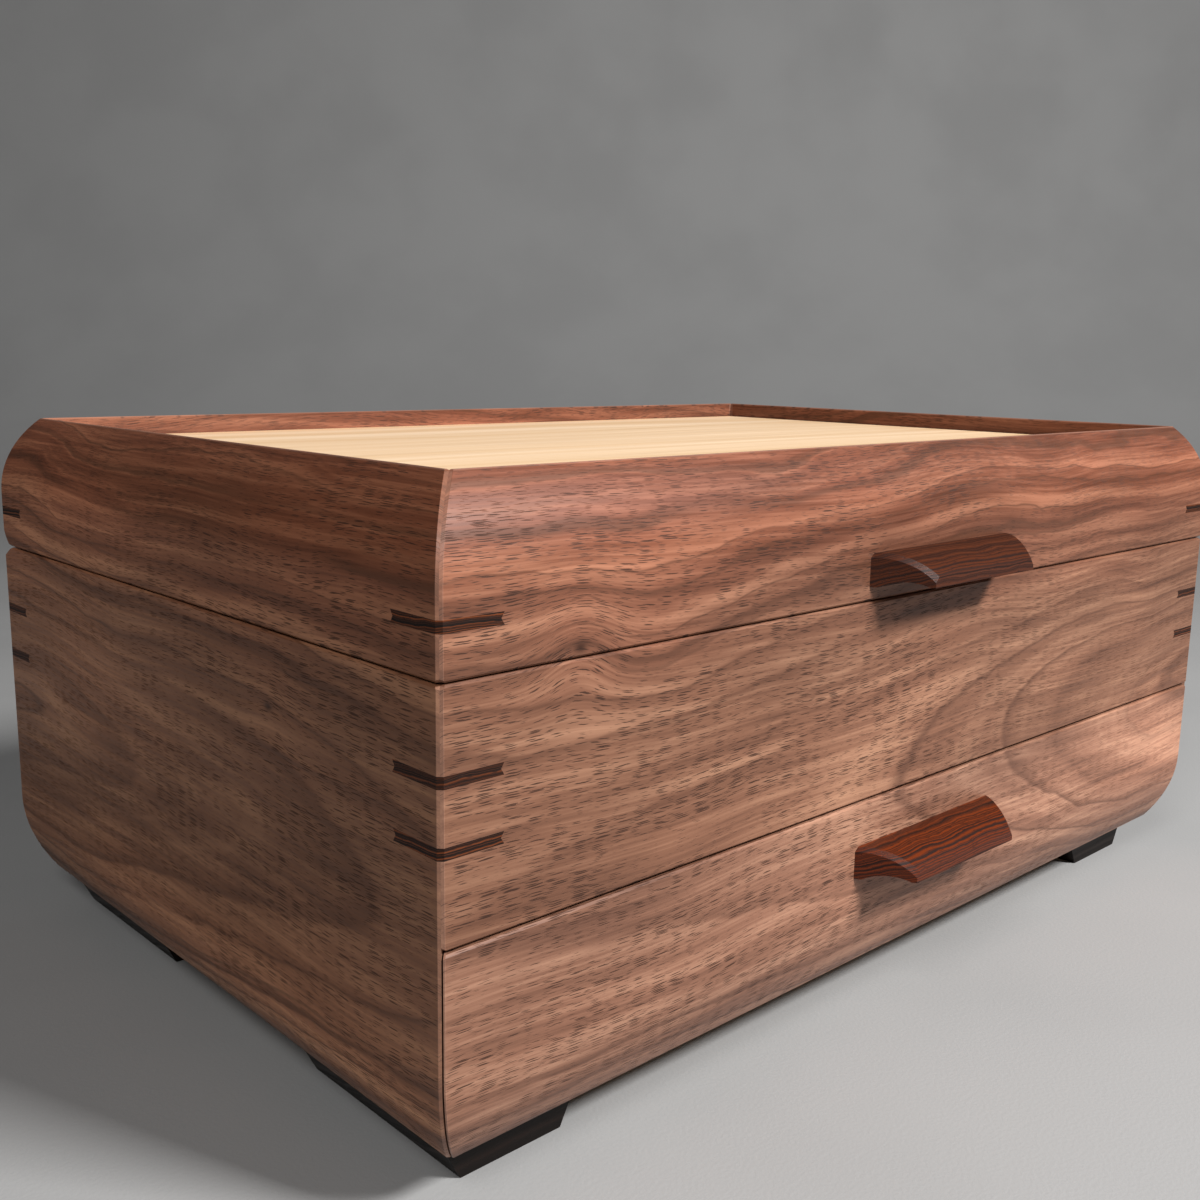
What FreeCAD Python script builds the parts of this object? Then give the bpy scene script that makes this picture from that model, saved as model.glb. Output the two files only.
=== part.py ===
import FreeCAD, Part
import os
import re
import Sketcher
from FreeCAD import Placement, Rotation, Vector

# Jewelry chest: a mitred walnut case with a curved crown and belly, a lid hinged at the back
# and a full-width drawer whose mitred front follows the same curve.
# Frame: X to the right, Y to the back, Z up. The origin is on the table, in the middle of the
# chest's overall width and of its overall depth, the pulls included.

# Each row: alias, millimetres, what it is.
SIZES = [
    ("case_width", 406.0, "outside, left to right"),
    ("case_depth", 274.0, "outside, front to back, without the pulls"),
    ("case_height", 126.0, "case boards, bottom edge to the line where the lid parts"),
    ("lid_height", 47.5, "lid boards, from that line to the rim"),
    ("wall", 12.7, "thickness of the case, lid and drawer front boards"),
    ("band_height", 64.5, "fixed front board above the drawer"),
    ("crown_radius", 38.0, "curve at the top of the lid boards"),
    ("crown_inset", 11.5, "how far the crown leans in at the rim"),
    ("belly_radius", 50.0, "curve at the foot of the case boards"),
    ("belly_inset", 8.8, "how far the belly leans in at the bottom edge"),
    ("edge_ease", 0.6, "small bevel along the board edges"),
    ("arris_ease", 1.7, "bevel down the four outer corners"),
    ("lid_gap", 0.5, "between the lid and the case"),
    ("drawer_gap", 1.0, "between the fixed front board and the drawer front"),
    ("mitre_gap", 0.6, "between the drawer front's mitre and the side's"),
    ("lid_panel_drop", 7.0, "rim down to the face of the lid panel"),
    ("lid_panel_thick", 6.4, "lid panel"),
    ("groove", 3.5, "depth of every groove that holds a panel"),
    ("panel_play", 0.4, "room for a panel to swell at the bottom of its groove"),
    ("floor_depth", 57.0, "top edge of the case down to the compartment floor"),
    ("floor_thick", 5.0, "compartment floor"),
    ("bottom_thick", 10.0, "bottom panel"),
    ("tongue_thick", 4.0, "tongue around the bottom panel"),
    ("panel_reveal", 0.5, "between the drawer front and the edge of the bottom panel"),
    ("spline_kerf", 3.2, "thickness of the corner splines, one saw kerf"),
    ("spline_reach", 19.0, "how far a spline shows along each face"),
    ("spline_notch", 0.7, "depth of the notch that the saw teeth leave behind a spline"),
    ("lid_spline_rise", 13.5, "parting line up to the middle of the lid spline"),
    ("upper_spline_drop", 23.0, "parting line down to the upper case spline"),
    ("lower_spline_drop", 40.3, "parting line down to the lower case spline"),
    ("relief_depth", 7.5, "back edges cut away for the hinge barrels"),
    ("lid_relief_height", 11.5, "rounding of the lid's back edge"),
    ("case_relief_height", 4.0, "bevel of the case's back edge"),
    ("hinge_length", 38.0, "butt hinge leaf"),
    ("hinge_inset", 46.0, "side of the chest to the near end of a hinge"),
    ("leaf_width", 9.4, "pin axis to the far edge of a leaf"),
    ("leaf_thick", 1.4, "hinge leaf"),
    ("barrel_radius", 2.2, "outside of the knuckles"),
    ("pin_radius", 0.8, "hinge pin"),
    ("pin_setback", 2.6, "back of the chest to the pin axis"),
    ("pin_play", 0.05, "radial play of the pin in the lid's knuckle"),
    ("knuckle_share", 12.0, "length of each outer knuckle"),
    ("knuckle_play", 0.2, "gaps between knuckles, and between a knuckle and the other leaf"),
    ("hinge_screw_inset", 9.5, "end of a leaf to its screw"),
    ("hinge_screw_length", 9.0, "hinge screw"),
    ("hinge_screw_head", 2.0, "radius of the hinge screw's head"),
    ("hinge_screw_shank", 1.0, "radius of the hinge screw's shank under the head"),
    ("pull_length", 80.0, "pull, along the board it is fixed to"),
    ("pull_tip_length", 58.0, "pull, along its lip"),
    ("pull_height", 10.5, "pull, where it meets the board"),
    ("pull_reach", 16.5, "how far a pull stands out"),
    ("pull_lip_top", 4.2, "top of the lip above the pull's foot"),
    ("pull_lip_low", 0.7, "bottom of the lip above the pull's foot"),
    ("pull_top_radius", 20.0, "rounding of the pull's top"),
    ("pull_cove_radius", 13.5, "hollow under the pull for the fingertips"),
    ("pull_foot", 2.0, "flat foot of the pull next to the board"),
    ("pull_nose", 1.3, "flat underside of the lip"),
    ("pull_bevel", 1.4, "bevel on the pull's ends"),
    ("lid_pull_rise", 4.4, "lid's lower edge up to the pull"),
    ("drawer_pull_drop", 14.3, "drawer front's top edge down to the pull"),
    ("foot_height", 14.5, "foot"),
    ("foot_length", 50.0, "foot, left to right at its top"),
    ("foot_slant", 7.5, "how far each end of a foot leans in"),
    ("foot_depth", 72.0, "foot, front to back"),
    ("foot_side_inset", 11.5, "side of the chest to the top of a foot"),
    ("foot_front_inset", 18.0, "front or back of the chest to a foot"),
    ("drawer_side_thick", 9.0, "drawer sides and back"),
    ("drawer_side_play", 1.0, "between a drawer side and the case side"),
    ("drawer_top_play", 1.5, "fixed front board down to the drawer sides"),
    ("drawer_back_play", 2.0, "drawer back to the case back"),
    ("drawer_dado", 5.0, "housing of the drawer sides in the drawer front"),
    ("back_dado", 4.0, "housing of the drawer back in the drawer sides"),
    ("drawer_floor_rise", 4.0, "lower edge of the drawer sides to the drawer bottom"),
    ("drawer_floor_thick", 4.0, "drawer bottom"),
    ("drawer_travel", 180.0, "how far the drawer opens"),
    ("runner_thick", 3.0, "strip that the drawer side slides on"),
    ("runner_play", 0.3, "drawer side above its runner"),
    ("stop_length", 30.0, "drawer stop, left to right"),
    ("stop_depth", 12.0, "drawer stop, front to back"),
    ("stop_height", 10.0, "drawer stop, below the compartment floor"),
    ("stop_play", 0.4, "drawer back to the stop when the drawer is open"),
    ("stop_screw_length", 13.5, "stop screw"),
    ("stop_screw_head", 3.2, "radius of the stop screw's head"),
    ("stop_screw_shank", 1.6, "radius of the stop screw's shank under the head"),
    ("felt_thick", 1.5, "felt lining"),
    ("felt_play", 0.3, "felt lining to the walls around it"),
    ("divider_thick", 5.0, "divider"),
    ("divider_height", 40.0, "divider"),
    ("divider_play", 0.3, "divider ends to the case walls"),
    ("halving_play", 0.1, "room in the halved joints of the dividers"),
]
CROSS_DIVIDERS = 3
# A screw's buried core is six-sided, and this share of the shank's radius.
SCREW_CORE = 0.85
HALF_FLAT = "sqrt(3) / 2"
HEXAGON = [("1", "0"), ("0.5", HALF_FLAT), ("-0.5", HALF_FLAT), ("-1", "0"),
           ("-0.5", f"-{HALF_FLAT}"), ("0.5", f"-{HALF_FLAT}")]

# Places that several pieces share, in terms of the sizes.
LEFT = "(-case_width / 2)"
RIGHT = "(case_width / 2)"
FRONT = "((pull_reach - case_depth) / 2)"
BACK = "((pull_reach + case_depth) / 2)"
MIDDLE = "(pull_reach / 2)"
BASE = "foot_height"
SPLIT = "(foot_height + case_height)"
LID_UNDER = "(foot_height + case_height + lid_gap)"
RIM = "(foot_height + case_height + lid_height)"
INNER_LEFT = "(wall - case_width / 2)"
INNER_FRONT = f"({FRONT} + wall)"
INNER_BACK = f"({BACK} - wall)"
CROWN_START = f"({RIM} - sqrt(crown_radius ^ 2 - (crown_radius - crown_inset) ^ 2))"
BELLY_END = f"({BASE} + sqrt(belly_radius ^ 2 - (belly_radius - belly_inset) ^ 2))"
LID_PANEL_TOP = f"({RIM} - lid_panel_drop)"
FLOOR_TOP = f"({SPLIT} - floor_depth)"
FLOOR_UNDER = f"({SPLIT} - floor_depth - floor_thick)"
BAND_UNDER = f"({SPLIT} - band_height)"
BOTTOM_TOP = f"({BASE} + bottom_thick)"
DRAWER_TOP = f"({SPLIT} - band_height - drawer_gap)"
DRAWER_BOX_LOW = f"({BOTTOM_TOP} + runner_thick + runner_play)"
DRAWER_BOX_TOP = f"({BAND_UNDER} - drawer_top_play)"
DRAWER_BOX_LEFT = f"({INNER_LEFT} + drawer_side_play)"
DRAWER_BOX_BACK = f"({INNER_BACK} - drawer_back_play)"
DRAWER_FLOOR_LOW = f"({DRAWER_BOX_LOW} + drawer_floor_rise)"
DRAWER_FLOOR_TOP = f"({DRAWER_FLOOR_LOW} + drawer_floor_thick)"
DRAWER_INNER_LEFT = f"({DRAWER_BOX_LEFT} + drawer_side_thick)"
DRAWER_BACK_FACE = f"({DRAWER_BOX_BACK} - drawer_side_thick)"
PIN_Y = f"({BACK} - pin_setback)"
PIN_Z = f"({SPLIT} + lid_gap / 2)"
HINGE_LEFT = f"({LEFT} + hinge_inset)"

doc = FreeCAD.newDocument("jewelry_chest")
sheet = doc.addObject("Spreadsheet::Sheet", "Sizes")
for row, (alias, value, meaning) in enumerate(SIZES, start=1):
    sheet.set(f"A{row}", alias)
    sheet.set(f"B{row}", str(value))
    sheet.set(f"C{row}", meaning)
    sheet.setAlias(f"B{row}", alias)
doc.recompute()
ALIASES = {alias for alias, _, _ in SIZES}
nodes = {}


def bound(text):
    """Turn plain size names into references to the sheet."""
    return re.sub(r"[a-z_]+", lambda m: f"Sizes.{m[0]}" if m[0] in ALIASES else m[0], text)


def size(text):
    """The present value of an expression of size names."""
    return float(sheet.evalExpression(bound(text)))


def bind(thing, prop, text):
    """Bind one property of an object to an expression of size names."""
    thing.setExpression(prop, bound(text))


def place(thing, x="0", y="0", z="0", axis=Vector(0, 0, 1), turn=0.0):
    """Set where an object stands, and keep that place bound to the sizes."""
    thing.Placement = Placement(Vector(size(x), size(y), size(z)), Rotation(axis, turn))
    for name, text in (("x", x), ("y", y), ("z", z)):
        bind(thing, f"Placement.Base.{name}", text)


def body(label):
    return doc.addObject("PartDesign::Body", label)


def draw_arc(start, end, radius, side):
    """Arc from start to end; its centre lies left of that way for side 1, right for -1."""
    chord = end - start
    rise = (radius ** 2 - (chord.Length / 2) ** 2) ** 0.5
    across = Vector(-chord.y, chord.x, 0).normalize()
    centre = (start + end) / 2 + across * rise * side
    first, last = (start, end) if side > 0 else (end, start)
    circle = Part.Circle(centre, Vector(0, 0, 1), radius)
    return Part.ArcOfCircle(circle, circle.parameter(first), circle.parameter(last))


def draw_outline(sketch, outline):
    """Closed outline. A point is (x, y), or (x, y, radius, side) where an arc leaves it."""
    corners = [Vector(size(point[0]), size(point[1]), 0) for point in outline]
    first = sketch.GeometryCount
    ends = []
    for i, point in enumerate(outline):
        start, end = corners[i], corners[(i + 1) % len(corners)]
        if len(point) == 2:
            index = sketch.addGeometry(Part.LineSegment(start, end), False)
            ends.append((index, 1, 2))
        else:
            index = sketch.addGeometry(draw_arc(start, end, size(point[2]), point[3]), False)
            ends.append((index, 1, 2) if point[3] > 0 else (index, 2, 1))
            rule = sketch.addConstraint(Sketcher.Constraint("Radius", index, size(point[2])))
            sketch.renameConstraint(rule, f"radius{index}")
            bind(sketch, f"Constraints.radius{index}", point[2])
    for i, point in enumerate(outline):
        index, start_end, _ = ends[i]
        before, _, finish = ends[i - 1]
        sketch.addConstraint(Sketcher.Constraint("Coincident", before, finish, index, start_end))
        for kind, text, value in (("X", point[0], corners[i].x), ("Y", point[1], corners[i].y)):
            rule = sketch.addConstraint(
                Sketcher.Constraint(f"Distance{kind}", index, start_end, value))
            name = f"{kind.lower()}{first + i}"
            sketch.renameConstraint(rule, name)
            bind(sketch, f"Constraints.{name}", text)


def draw_circle(sketch, x, y, radius):
    centre = Vector(size(x), size(y), 0)
    index = sketch.addGeometry(Part.Circle(centre, Vector(0, 0, 1), size(radius)), False)
    rules = (("DistanceX", x, (index, 3, centre.x)), ("DistanceY", y, (index, 3, centre.y)),
             ("Radius", radius, (index, size(radius))))
    for kind, text, arguments in rules:
        rule = sketch.addConstraint(Sketcher.Constraint(kind, *arguments))
        sketch.renameConstraint(rule, f"{kind}{index}")
        bind(sketch, f"Constraints.{kind}{index}", text)


def sketch_on(owner, role, name, outlines=(), circles=(), offset="0"):
    """Sketch on one of the body's own origin planes, moved along its normal by offset."""
    sketch = owner.newObject("Sketcher::SketchObject", name)
    plane = next(f for f in owner.Origin.OriginFeatures if f.Role == role)
    sketch.AttachmentSupport = [(plane, "")]
    sketch.MapMode = "FlatFace"
    bind(sketch, "AttachmentOffset.Base.z", offset)
    for outline in outlines:
        draw_outline(sketch, outline)
    for circle in circles:
        draw_circle(sketch, *circle)
    return sketch


def pad(owner, sketch, length, back=False, both=False):
    feature = owner.newObject("PartDesign::Pad", f"{sketch.Name}_pad")
    feature.Profile = sketch
    feature.Reversed = back
    feature.SideType = "Symmetric" if both else "One side"
    bind(feature, "Length", length)
    doc.recompute()
    return feature


def pocket(owner, sketch, depth=None, back=False, both=False):
    """Cut the sketch away, right through unless a depth is given. It has to take wood off."""
    before = owner.Shape.Volume
    feature = owner.newObject("PartDesign::Pocket", f"{sketch.Name}_pocket")
    feature.Profile = sketch
    feature.Reversed = back
    feature.SideType = "Symmetric" if both else "One side"
    if depth is None:
        feature.Type = "ThroughAll"
    else:
        bind(feature, "Length", depth)
    doc.recompute()
    if owner.Shape.Volume >= before:
        raise RuntimeError(f"{feature.Name} cuts nothing")
    return feature


def bevel(owner, chosen, reach):
    """Bevel the edges that the test picks."""
    last = owner.Tip
    names = [f"Edge{i}" for i, edge in enumerate(last.Shape.Edges, start=1) if chosen(edge)]
    feature = owner.newObject("PartDesign::Chamfer", f"{owner.Name}_bevel")
    feature.Base = (last, names)
    bind(feature, "Size", reach)
    doc.recompute()
    return feature


def box(label, x, y, z, length, width, height):
    thing = doc.addObject("Part::Box", label)
    for prop, text in (("Length", length), ("Width", width), ("Height", height)):
        bind(thing, prop, text)
    place(thing, x, y, z)
    return thing


def cut(base, *tools):
    """Take the tools' shapes out of a piece, which keeps its name."""
    label = base.Label
    for tool in tools:
        base.Label = f"{label}_before_{tool.Name}"
        result = doc.addObject("Part::Cut", f"{label}_cut")
        result.Base = base
        result.Tool = tool
        result.Label = label
        base = result
    doc.recompute()
    return base


def mirror(source, label, across_depth=False):
    """The same piece on the other side: left to right, or front to back."""
    copy = doc.addObject("Part::Mirroring", label)
    copy.Source = source
    copy.Normal = Vector(0, 1, 0) if across_depth else Vector(1, 0, 0)
    if across_depth:
        bind(copy, "Base.y", MIDDLE)
    return copy


def group(label, members):
    """Identical small pieces that share one node, each still a solid of its own."""
    thing = doc.addObject("Part::Compound", label)
    thing.Links = members
    return thing


def four_corners(label, piece):
    """A piece at the front left, and the same at the other three corners."""
    right = mirror(piece, f"{label}_fr")
    back_left = mirror(piece, f"{label}_bl", across_depth=True)
    back_right = mirror(right, f"{label}_br", across_depth=True)
    return [piece, right, back_left, back_right]


def keep(thing):
    nodes[thing.Label] = thing
    return thing


# Boards. A board is drawn in its own frame: X along it, Y from its outer face inwards, Z up.


def faces_the_mitre(face):
    """Whether a board's face is the mitre at one of its ends, at 45 degrees in plan."""
    out = face.normalAt(0, 0)
    return abs(out.z) < 1e-3 and out.y > 0 and abs(abs(out.x) - out.y) < 1e-3


def faces_outwards(face, point):
    """Whether a board's face looks out of the chest at a point of its edge."""
    out = face.normalAt(*face.Surface.parameter(point))
    return abs(out.x) < 1e-3 and out.y < -1e-3


def ease_outer_corners(board, gap):
    """Flats where the outer faces meet the mitres. A flat is square to its mitre, so that two
    boards share one flat, which follows their curve and runs on past a gap between them."""
    along_face = size(f"arris_ease / sqrt(2) - {gap}")
    along_mitre = along_face / size("sqrt(2)")
    wood = board.Tip.Shape
    edges = []
    for number, edge in enumerate(wood.Edges, start=1):
        first, second = wood.ancestorsOfType(edge, Part.Face)
        if faces_the_mitre(second) and faces_outwards(first, edge.CenterOfMass):
            edges.append((number, along_face, along_mitre))
        elif faces_the_mitre(first) and faces_outwards(second, edge.CenterOfMass):
            edges.append((number, along_mitre, along_face))
    label = board.Label
    board.Label = f"{label}_sharp"
    eased = doc.addObject("Part::Chamfer", f"{label}_eased")
    eased.Base = board
    eased.Edges = edges
    eased.Label = label
    doc.recompute()
    return eased


def mitred_board(label, corner, turn, length, outline, gap="0"):
    """Board with both ends mitred and its outer corners eased."""
    board = body(label)
    place(board, *corner, turn=turn)
    pad(board, sketch_on(board, "YZ_Plane", f"{label}_section", [outline]), length)
    near_end = [("0", "0"), (f"{gap} + wall", "wall"), ("0", "wall")]
    far_end = [(length, "0"), (length, "wall"), (f"{length} - {gap} - wall", "wall")]
    if size(gap) > 0:
        near_end.insert(1, (gap, "0"))
        far_end.append((f"{length} - {gap}", "0"))
    ends = sketch_on(board, "XY_Plane", f"{label}_mitres", [near_end, far_end])
    pocket(board, ends, back=True)
    return ease_outer_corners(board, gap)


def groove_points(top, thick):
    """The three sides of a groove in the inner face, listed downwards from its top."""
    return [("wall", top), ("wall - groove", top), ("wall - groove", f"{top} - {thick}"),
            ("wall", f"{top} - {thick}")]


def belly(lowest="belly_inset"):
    """Outer curve at the foot of a case board, from the straight face down to the edge."""
    return [("0", BELLY_END, "belly_radius", 1), (lowest, BASE), ("wall", BASE)]


lid_section = [
    ("0", CROWN_START), ("0", f"{LID_UNDER} + edge_ease"), ("edge_ease", LID_UNDER),
    ("wall", LID_UNDER), *reversed(groove_points(LID_PANEL_TOP, "lid_panel_thick")),
    ("wall", f"{RIM} - edge_ease"), ("wall - edge_ease", RIM), ("crown_inset", RIM, "crown_radius", 1),
]
wall_section = [
    *belly(), *reversed(groove_points(BOTTOM_TOP, "tongue_thick")),
    *reversed(groove_points(FLOOR_TOP, "floor_thick")),
    ("wall", SPLIT), ("edge_ease", SPLIT), ("0", f"{SPLIT} - edge_ease"),
]
band_section = [
    ("0", f"{BAND_UNDER} + edge_ease"), ("edge_ease", BAND_UNDER), ("wall", BAND_UNDER),
    *reversed(groove_points(FLOOR_TOP, "floor_thick")),
    ("wall", SPLIT), ("edge_ease", SPLIT), ("0", f"{SPLIT} - edge_ease"),
]
drawer_front_section = [
    *belly(), *reversed(groove_points(DRAWER_FLOOR_TOP, "drawer_floor_thick")),
    ("wall", DRAWER_TOP), ("edge_ease", DRAWER_TOP), ("0", f"{DRAWER_TOP} - edge_ease"),
]


def corner_spline(label, level):
    """Key in a saw kerf across a mitre; the saw leaves a notched inner edge."""
    key = body(label)
    place(key, LEFT, FRONT, f"{level} - spline_kerf / 2")
    eased = "arris_ease / sqrt(2)"
    plan = [(eased, "0"), ("spline_reach", "0"), ("0", "spline_reach"), ("0", eased)]
    pad(key, sketch_on(key, "XY_Plane", f"{label}_plan", [plan]), "spline_kerf")
    edge = "spline_reach / sqrt(2)"
    notch = [(edge, "0"), (f"{edge} + 1", "0"), (f"{edge} + 1", "spline_kerf"), (edge, "spline_kerf"),
             (f"{edge} - spline_notch", "spline_kerf / 2")]
    section = sketch_on(key, "XZ_Plane", f"{label}_notch", [notch])
    section.AttachmentOffset = Placement(Vector(0, 0, 0), Rotation(Vector(0, 1, 0), 45))
    pocket(key, section, both=True)
    return key


def hinge_relief():
    """Long hollow along the back edges of lid and case, where the hinge barrels lie."""
    hollow = body("hinge_relief")
    outside = f"{BACK} + relief_depth"
    round_radius = "(relief_depth ^ 2 + lid_relief_height ^ 2) / (2 * relief_depth)"
    lid_edge, case_edge = f"{SPLIT} + lid_relief_height", f"{SPLIT} - case_relief_height"
    outline = [(f"{BACK} - relief_depth", SPLIT), (BACK, case_edge), (outside, case_edge),
               (outside, lid_edge), (BACK, lid_edge, round_radius, -1)]
    section = sketch_on(hollow, "YZ_Plane", "hinge_relief_section", [outline])
    pad(hollow, section, "case_width + wall", both=True)
    return hollow


def screw(label, x, y, z, axis, turn, length, head, shank):
    """Countersunk screw: its head at the given place, its core downwards before the turn."""
    item = body(label)
    place(item, x, y, z, axis, turn)
    sunk = f"({head} - {shank})"
    half = [("0", "0"), (head, "0"), (shank, f"-{sunk}"), ("0", f"-{sunk}")]
    sketch = sketch_on(item, "XZ_Plane", f"{label}_half", [half])
    feature = item.newObject("PartDesign::Revolution", f"{label}_turned")
    feature.Profile = sketch
    feature.ReferenceAxis = (sketch, ["V_Axis"])
    feature.Angle = 360
    core = f"{SCREW_CORE} * {shank}"
    hexagon = [(f"{core} * {x}", f"{core} * {y}") for x, y in HEXAGON]
    pad(item, sketch_on(item, "XY_Plane", f"{label}_core", [hexagon], offset=f"-{sunk}"),
        f"{length} - {sunk}", back=True)
    return item


ACROSS = Vector(1, 0, 0)
UP = Vector(0, 0, 1)


def pull(label, foot_level):
    """Finger pull: rounded top, hollow underside and a thin lip, its ends cut at a slant."""
    piece = body(label)
    place(piece, "-pull_length / 2", FRONT, foot_level)
    section = [
        ("0", "0"), ("0", "pull_height", "pull_top_radius", 1), ("-pull_reach", "pull_lip_top"),
        ("-pull_reach", "pull_lip_low"),
        ("pull_nose - pull_reach", "pull_lip_low", "pull_cove_radius", -1), ("-pull_foot", "0"),
    ]
    pad(piece, sketch_on(piece, "YZ_Plane", f"{label}_section", [section]), "pull_length")
    slant = "(pull_length - pull_tip_length) / 2"
    near_end = [("0", "0"), ("0", "-pull_reach"), (slant, "-pull_reach")]
    far_end = [("pull_length", "0"), (f"pull_length - {slant}", "-pull_reach"),
               ("pull_length", "-pull_reach")]
    ends = sketch_on(piece, "XY_Plane", f"{label}_ends", [near_end, far_end])
    pocket(piece, ends, back=True)

    def along_the_top_of_an_end(edge):
        points = [vertex.Point for vertex in edge.Vertexes]
        spread = max(point.y for point in points) - min(point.y for point in points)
        return spread > size("pull_reach") * 0.9 and min(p.z for p in points) > size("pull_lip_low") + 0.5

    bevel(piece, along_the_top_of_an_end, "pull_bevel")
    return piece


def foot(label):
    """Foot with slanting ends."""
    piece = body(label)
    place(piece, f"{LEFT} + foot_side_inset", f"{FRONT} + foot_front_inset")
    outline = [("0", "foot_height"), ("foot_slant", "0"), ("foot_length - foot_slant", "0"),
               ("foot_length", "foot_height")]
    pad(piece, sketch_on(piece, "XZ_Plane", f"{label}_face", [outline]), "foot_depth", back=True)
    return piece


def hinge_leaf(label, tabs, face, side, bore):
    """Hinge leaf with knuckles over the stretches in tabs; side 1 is the lid's, -1 the case's."""
    leaf = body(label)
    place(leaf, HINGE_LEFT, PIN_Y, face)
    shoulder = "-barrel_radius - knuckle_play"
    outline = [("0", "-leaf_width"), ("0", shoulder)]
    for start, end in tabs:
        corners = [(start, shoulder), (start, "0"), (end, "0"), (end, shoulder)]
        outline += [point for point in corners if point not in outline]
    if outline[-1] != ("hinge_length", shoulder):
        outline.append(("hinge_length", shoulder))
    outline.append(("hinge_length", "-leaf_width"))
    plate = sketch_on(leaf, "XY_Plane", f"{label}_plate", [outline])
    pad(leaf, plate, "leaf_thick", back=side < 0)
    middle = f"-{side} * lid_gap / 2"
    for start, end in tabs:
        ring = sketch_on(leaf, "YZ_Plane", f"{label}_knuckle", circles=[("0", middle, "barrel_radius")],
                         offset=start)
        pad(leaf, ring, f"{end} - ({start})")
    hole = sketch_on(leaf, "YZ_Plane", f"{label}_bore", circles=[("0", middle, bore)])
    pocket(leaf, hole, back=True)
    return leaf


# The hinges: the left one is drawn, the right one is its mirror image.
outer_tabs = [("0", "knuckle_share"), ("hinge_length - knuckle_share", "hinge_length")]
inner_tab = [("knuckle_share + knuckle_play", "hinge_length - knuckle_share - knuckle_play")]
case_leaf = hinge_leaf("hinge_left_case_leaf", outer_tabs, SPLIT, -1, "pin_radius")
lid_leaf = hinge_leaf("hinge_left_lid_leaf", inner_tab, LID_UNDER, 1, "pin_radius + pin_play")

hinge_pin = doc.addObject("Part::Cylinder", "hinge_left_pin")
bind(hinge_pin, "Radius", "pin_radius")
bind(hinge_pin, "Height", "hinge_length")
place(hinge_pin, HINGE_LEFT, PIN_Y, PIN_Z, Vector(0, 1, 0), 90)


def hinge_screws(label, level, turn):
    """Two screws through each leaf of both hinges."""
    row = f"{PIN_Y} - (leaf_width + barrel_radius + knuckle_play) / 2"
    places = [f"{HINGE_LEFT} + hinge_screw_inset", f"{HINGE_LEFT} + hinge_length - hinge_screw_inset"]
    pair = [screw(f"{label}_{i}", x, row, level, ACROSS, turn, "hinge_screw_length",
                  "hinge_screw_head", "hinge_screw_shank") for i, x in enumerate(places)]
    return group(label, pair + [mirror(item, f"{item.Name}_right") for item in pair])


case_hinge_screws = keep(hinge_screws("case_hinge_screws", SPLIT, 0))
lid_hinge_screws = keep(hinge_screws("lid_hinge_screws", LID_UNDER, 180))
case_leaf = keep(cut(case_leaf, case_hinge_screws))
lid_leaf = keep(cut(lid_leaf, lid_hinge_screws))
right_case_leaf = keep(mirror(case_leaf, "hinge_right_case_leaf"))
right_lid_leaf = keep(mirror(lid_leaf, "hinge_right_lid_leaf"))
keep(hinge_pin)
keep(mirror(hinge_pin, "hinge_right_pin"))

# Corner splines, which the boards are cut for, and pulls.
lid_splines = keep(group("lid_splines", four_corners(
    "lid_spline", corner_spline("lid_spline", f"{SPLIT} + lid_spline_rise"))))
upper_splines = keep(group("upper_case_splines", four_corners(
    "upper_spline", corner_spline("upper_spline", f"{SPLIT} - upper_spline_drop"))))
lower_splines = keep(group("lower_case_splines", four_corners(
    "lower_spline", corner_spline("lower_spline", f"{SPLIT} - lower_spline_drop"))))


keep(pull("lid_pull", f"({LID_UNDER} + lid_pull_rise)"))
keep(pull("drawer_pull", f"({DRAWER_TOP} - drawer_pull_drop - pull_height)"))
relief = hinge_relief()

# The lid: four mitred boards round a floating panel.
keep(cut(mitred_board("lid_front", (LEFT, FRONT, "0"), 0, "case_width", lid_section),
         lid_splines))
keep(cut(mitred_board("lid_back", (RIGHT, BACK, "0"), 180, "case_width", lid_section),
         relief, lid_splines, lid_leaf, right_lid_leaf, lid_hinge_screws))
lid_left = keep(cut(mitred_board("lid_left", (LEFT, BACK, "0"), -90, "case_depth", lid_section),
                    relief, lid_splines))
keep(mirror(lid_left, "lid_right"))
tongue = "groove - panel_play"
keep(box("lid_panel", f"{INNER_LEFT} - ({tongue})", f"{INNER_FRONT} - ({tongue})",
         f"{LID_PANEL_TOP} - lid_panel_thick", f"case_width - 2 * wall + 2 * ({tongue})",
         f"case_depth - 2 * wall + 2 * ({tongue})", "lid_panel_thick"))

# The case: a fixed board above the drawer, two sides and a back.
keep(cut(mitred_board("case_front", (LEFT, FRONT, "0"), 0, "case_width", band_section),
         upper_splines, lower_splines))
keep(cut(mitred_board("case_back", (RIGHT, BACK, "0"), 180, "case_width", wall_section),
         relief, upper_splines, lower_splines, case_leaf, right_case_leaf, case_hinge_screws))
case_left = keep(cut(mitred_board("case_left", (LEFT, BACK, "0"), -90, "case_depth", wall_section),
                     relief, upper_splines, lower_splines))
keep(mirror(case_left, "case_right"))
keep(box("compartment_floor", f"{INNER_LEFT} - ({tongue})", f"{INNER_FRONT} - ({tongue})",
         FLOOR_UNDER, f"case_width - 2 * wall + 2 * ({tongue})",
         f"case_depth - 2 * wall + 2 * ({tongue})", "floor_thick"))


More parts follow.
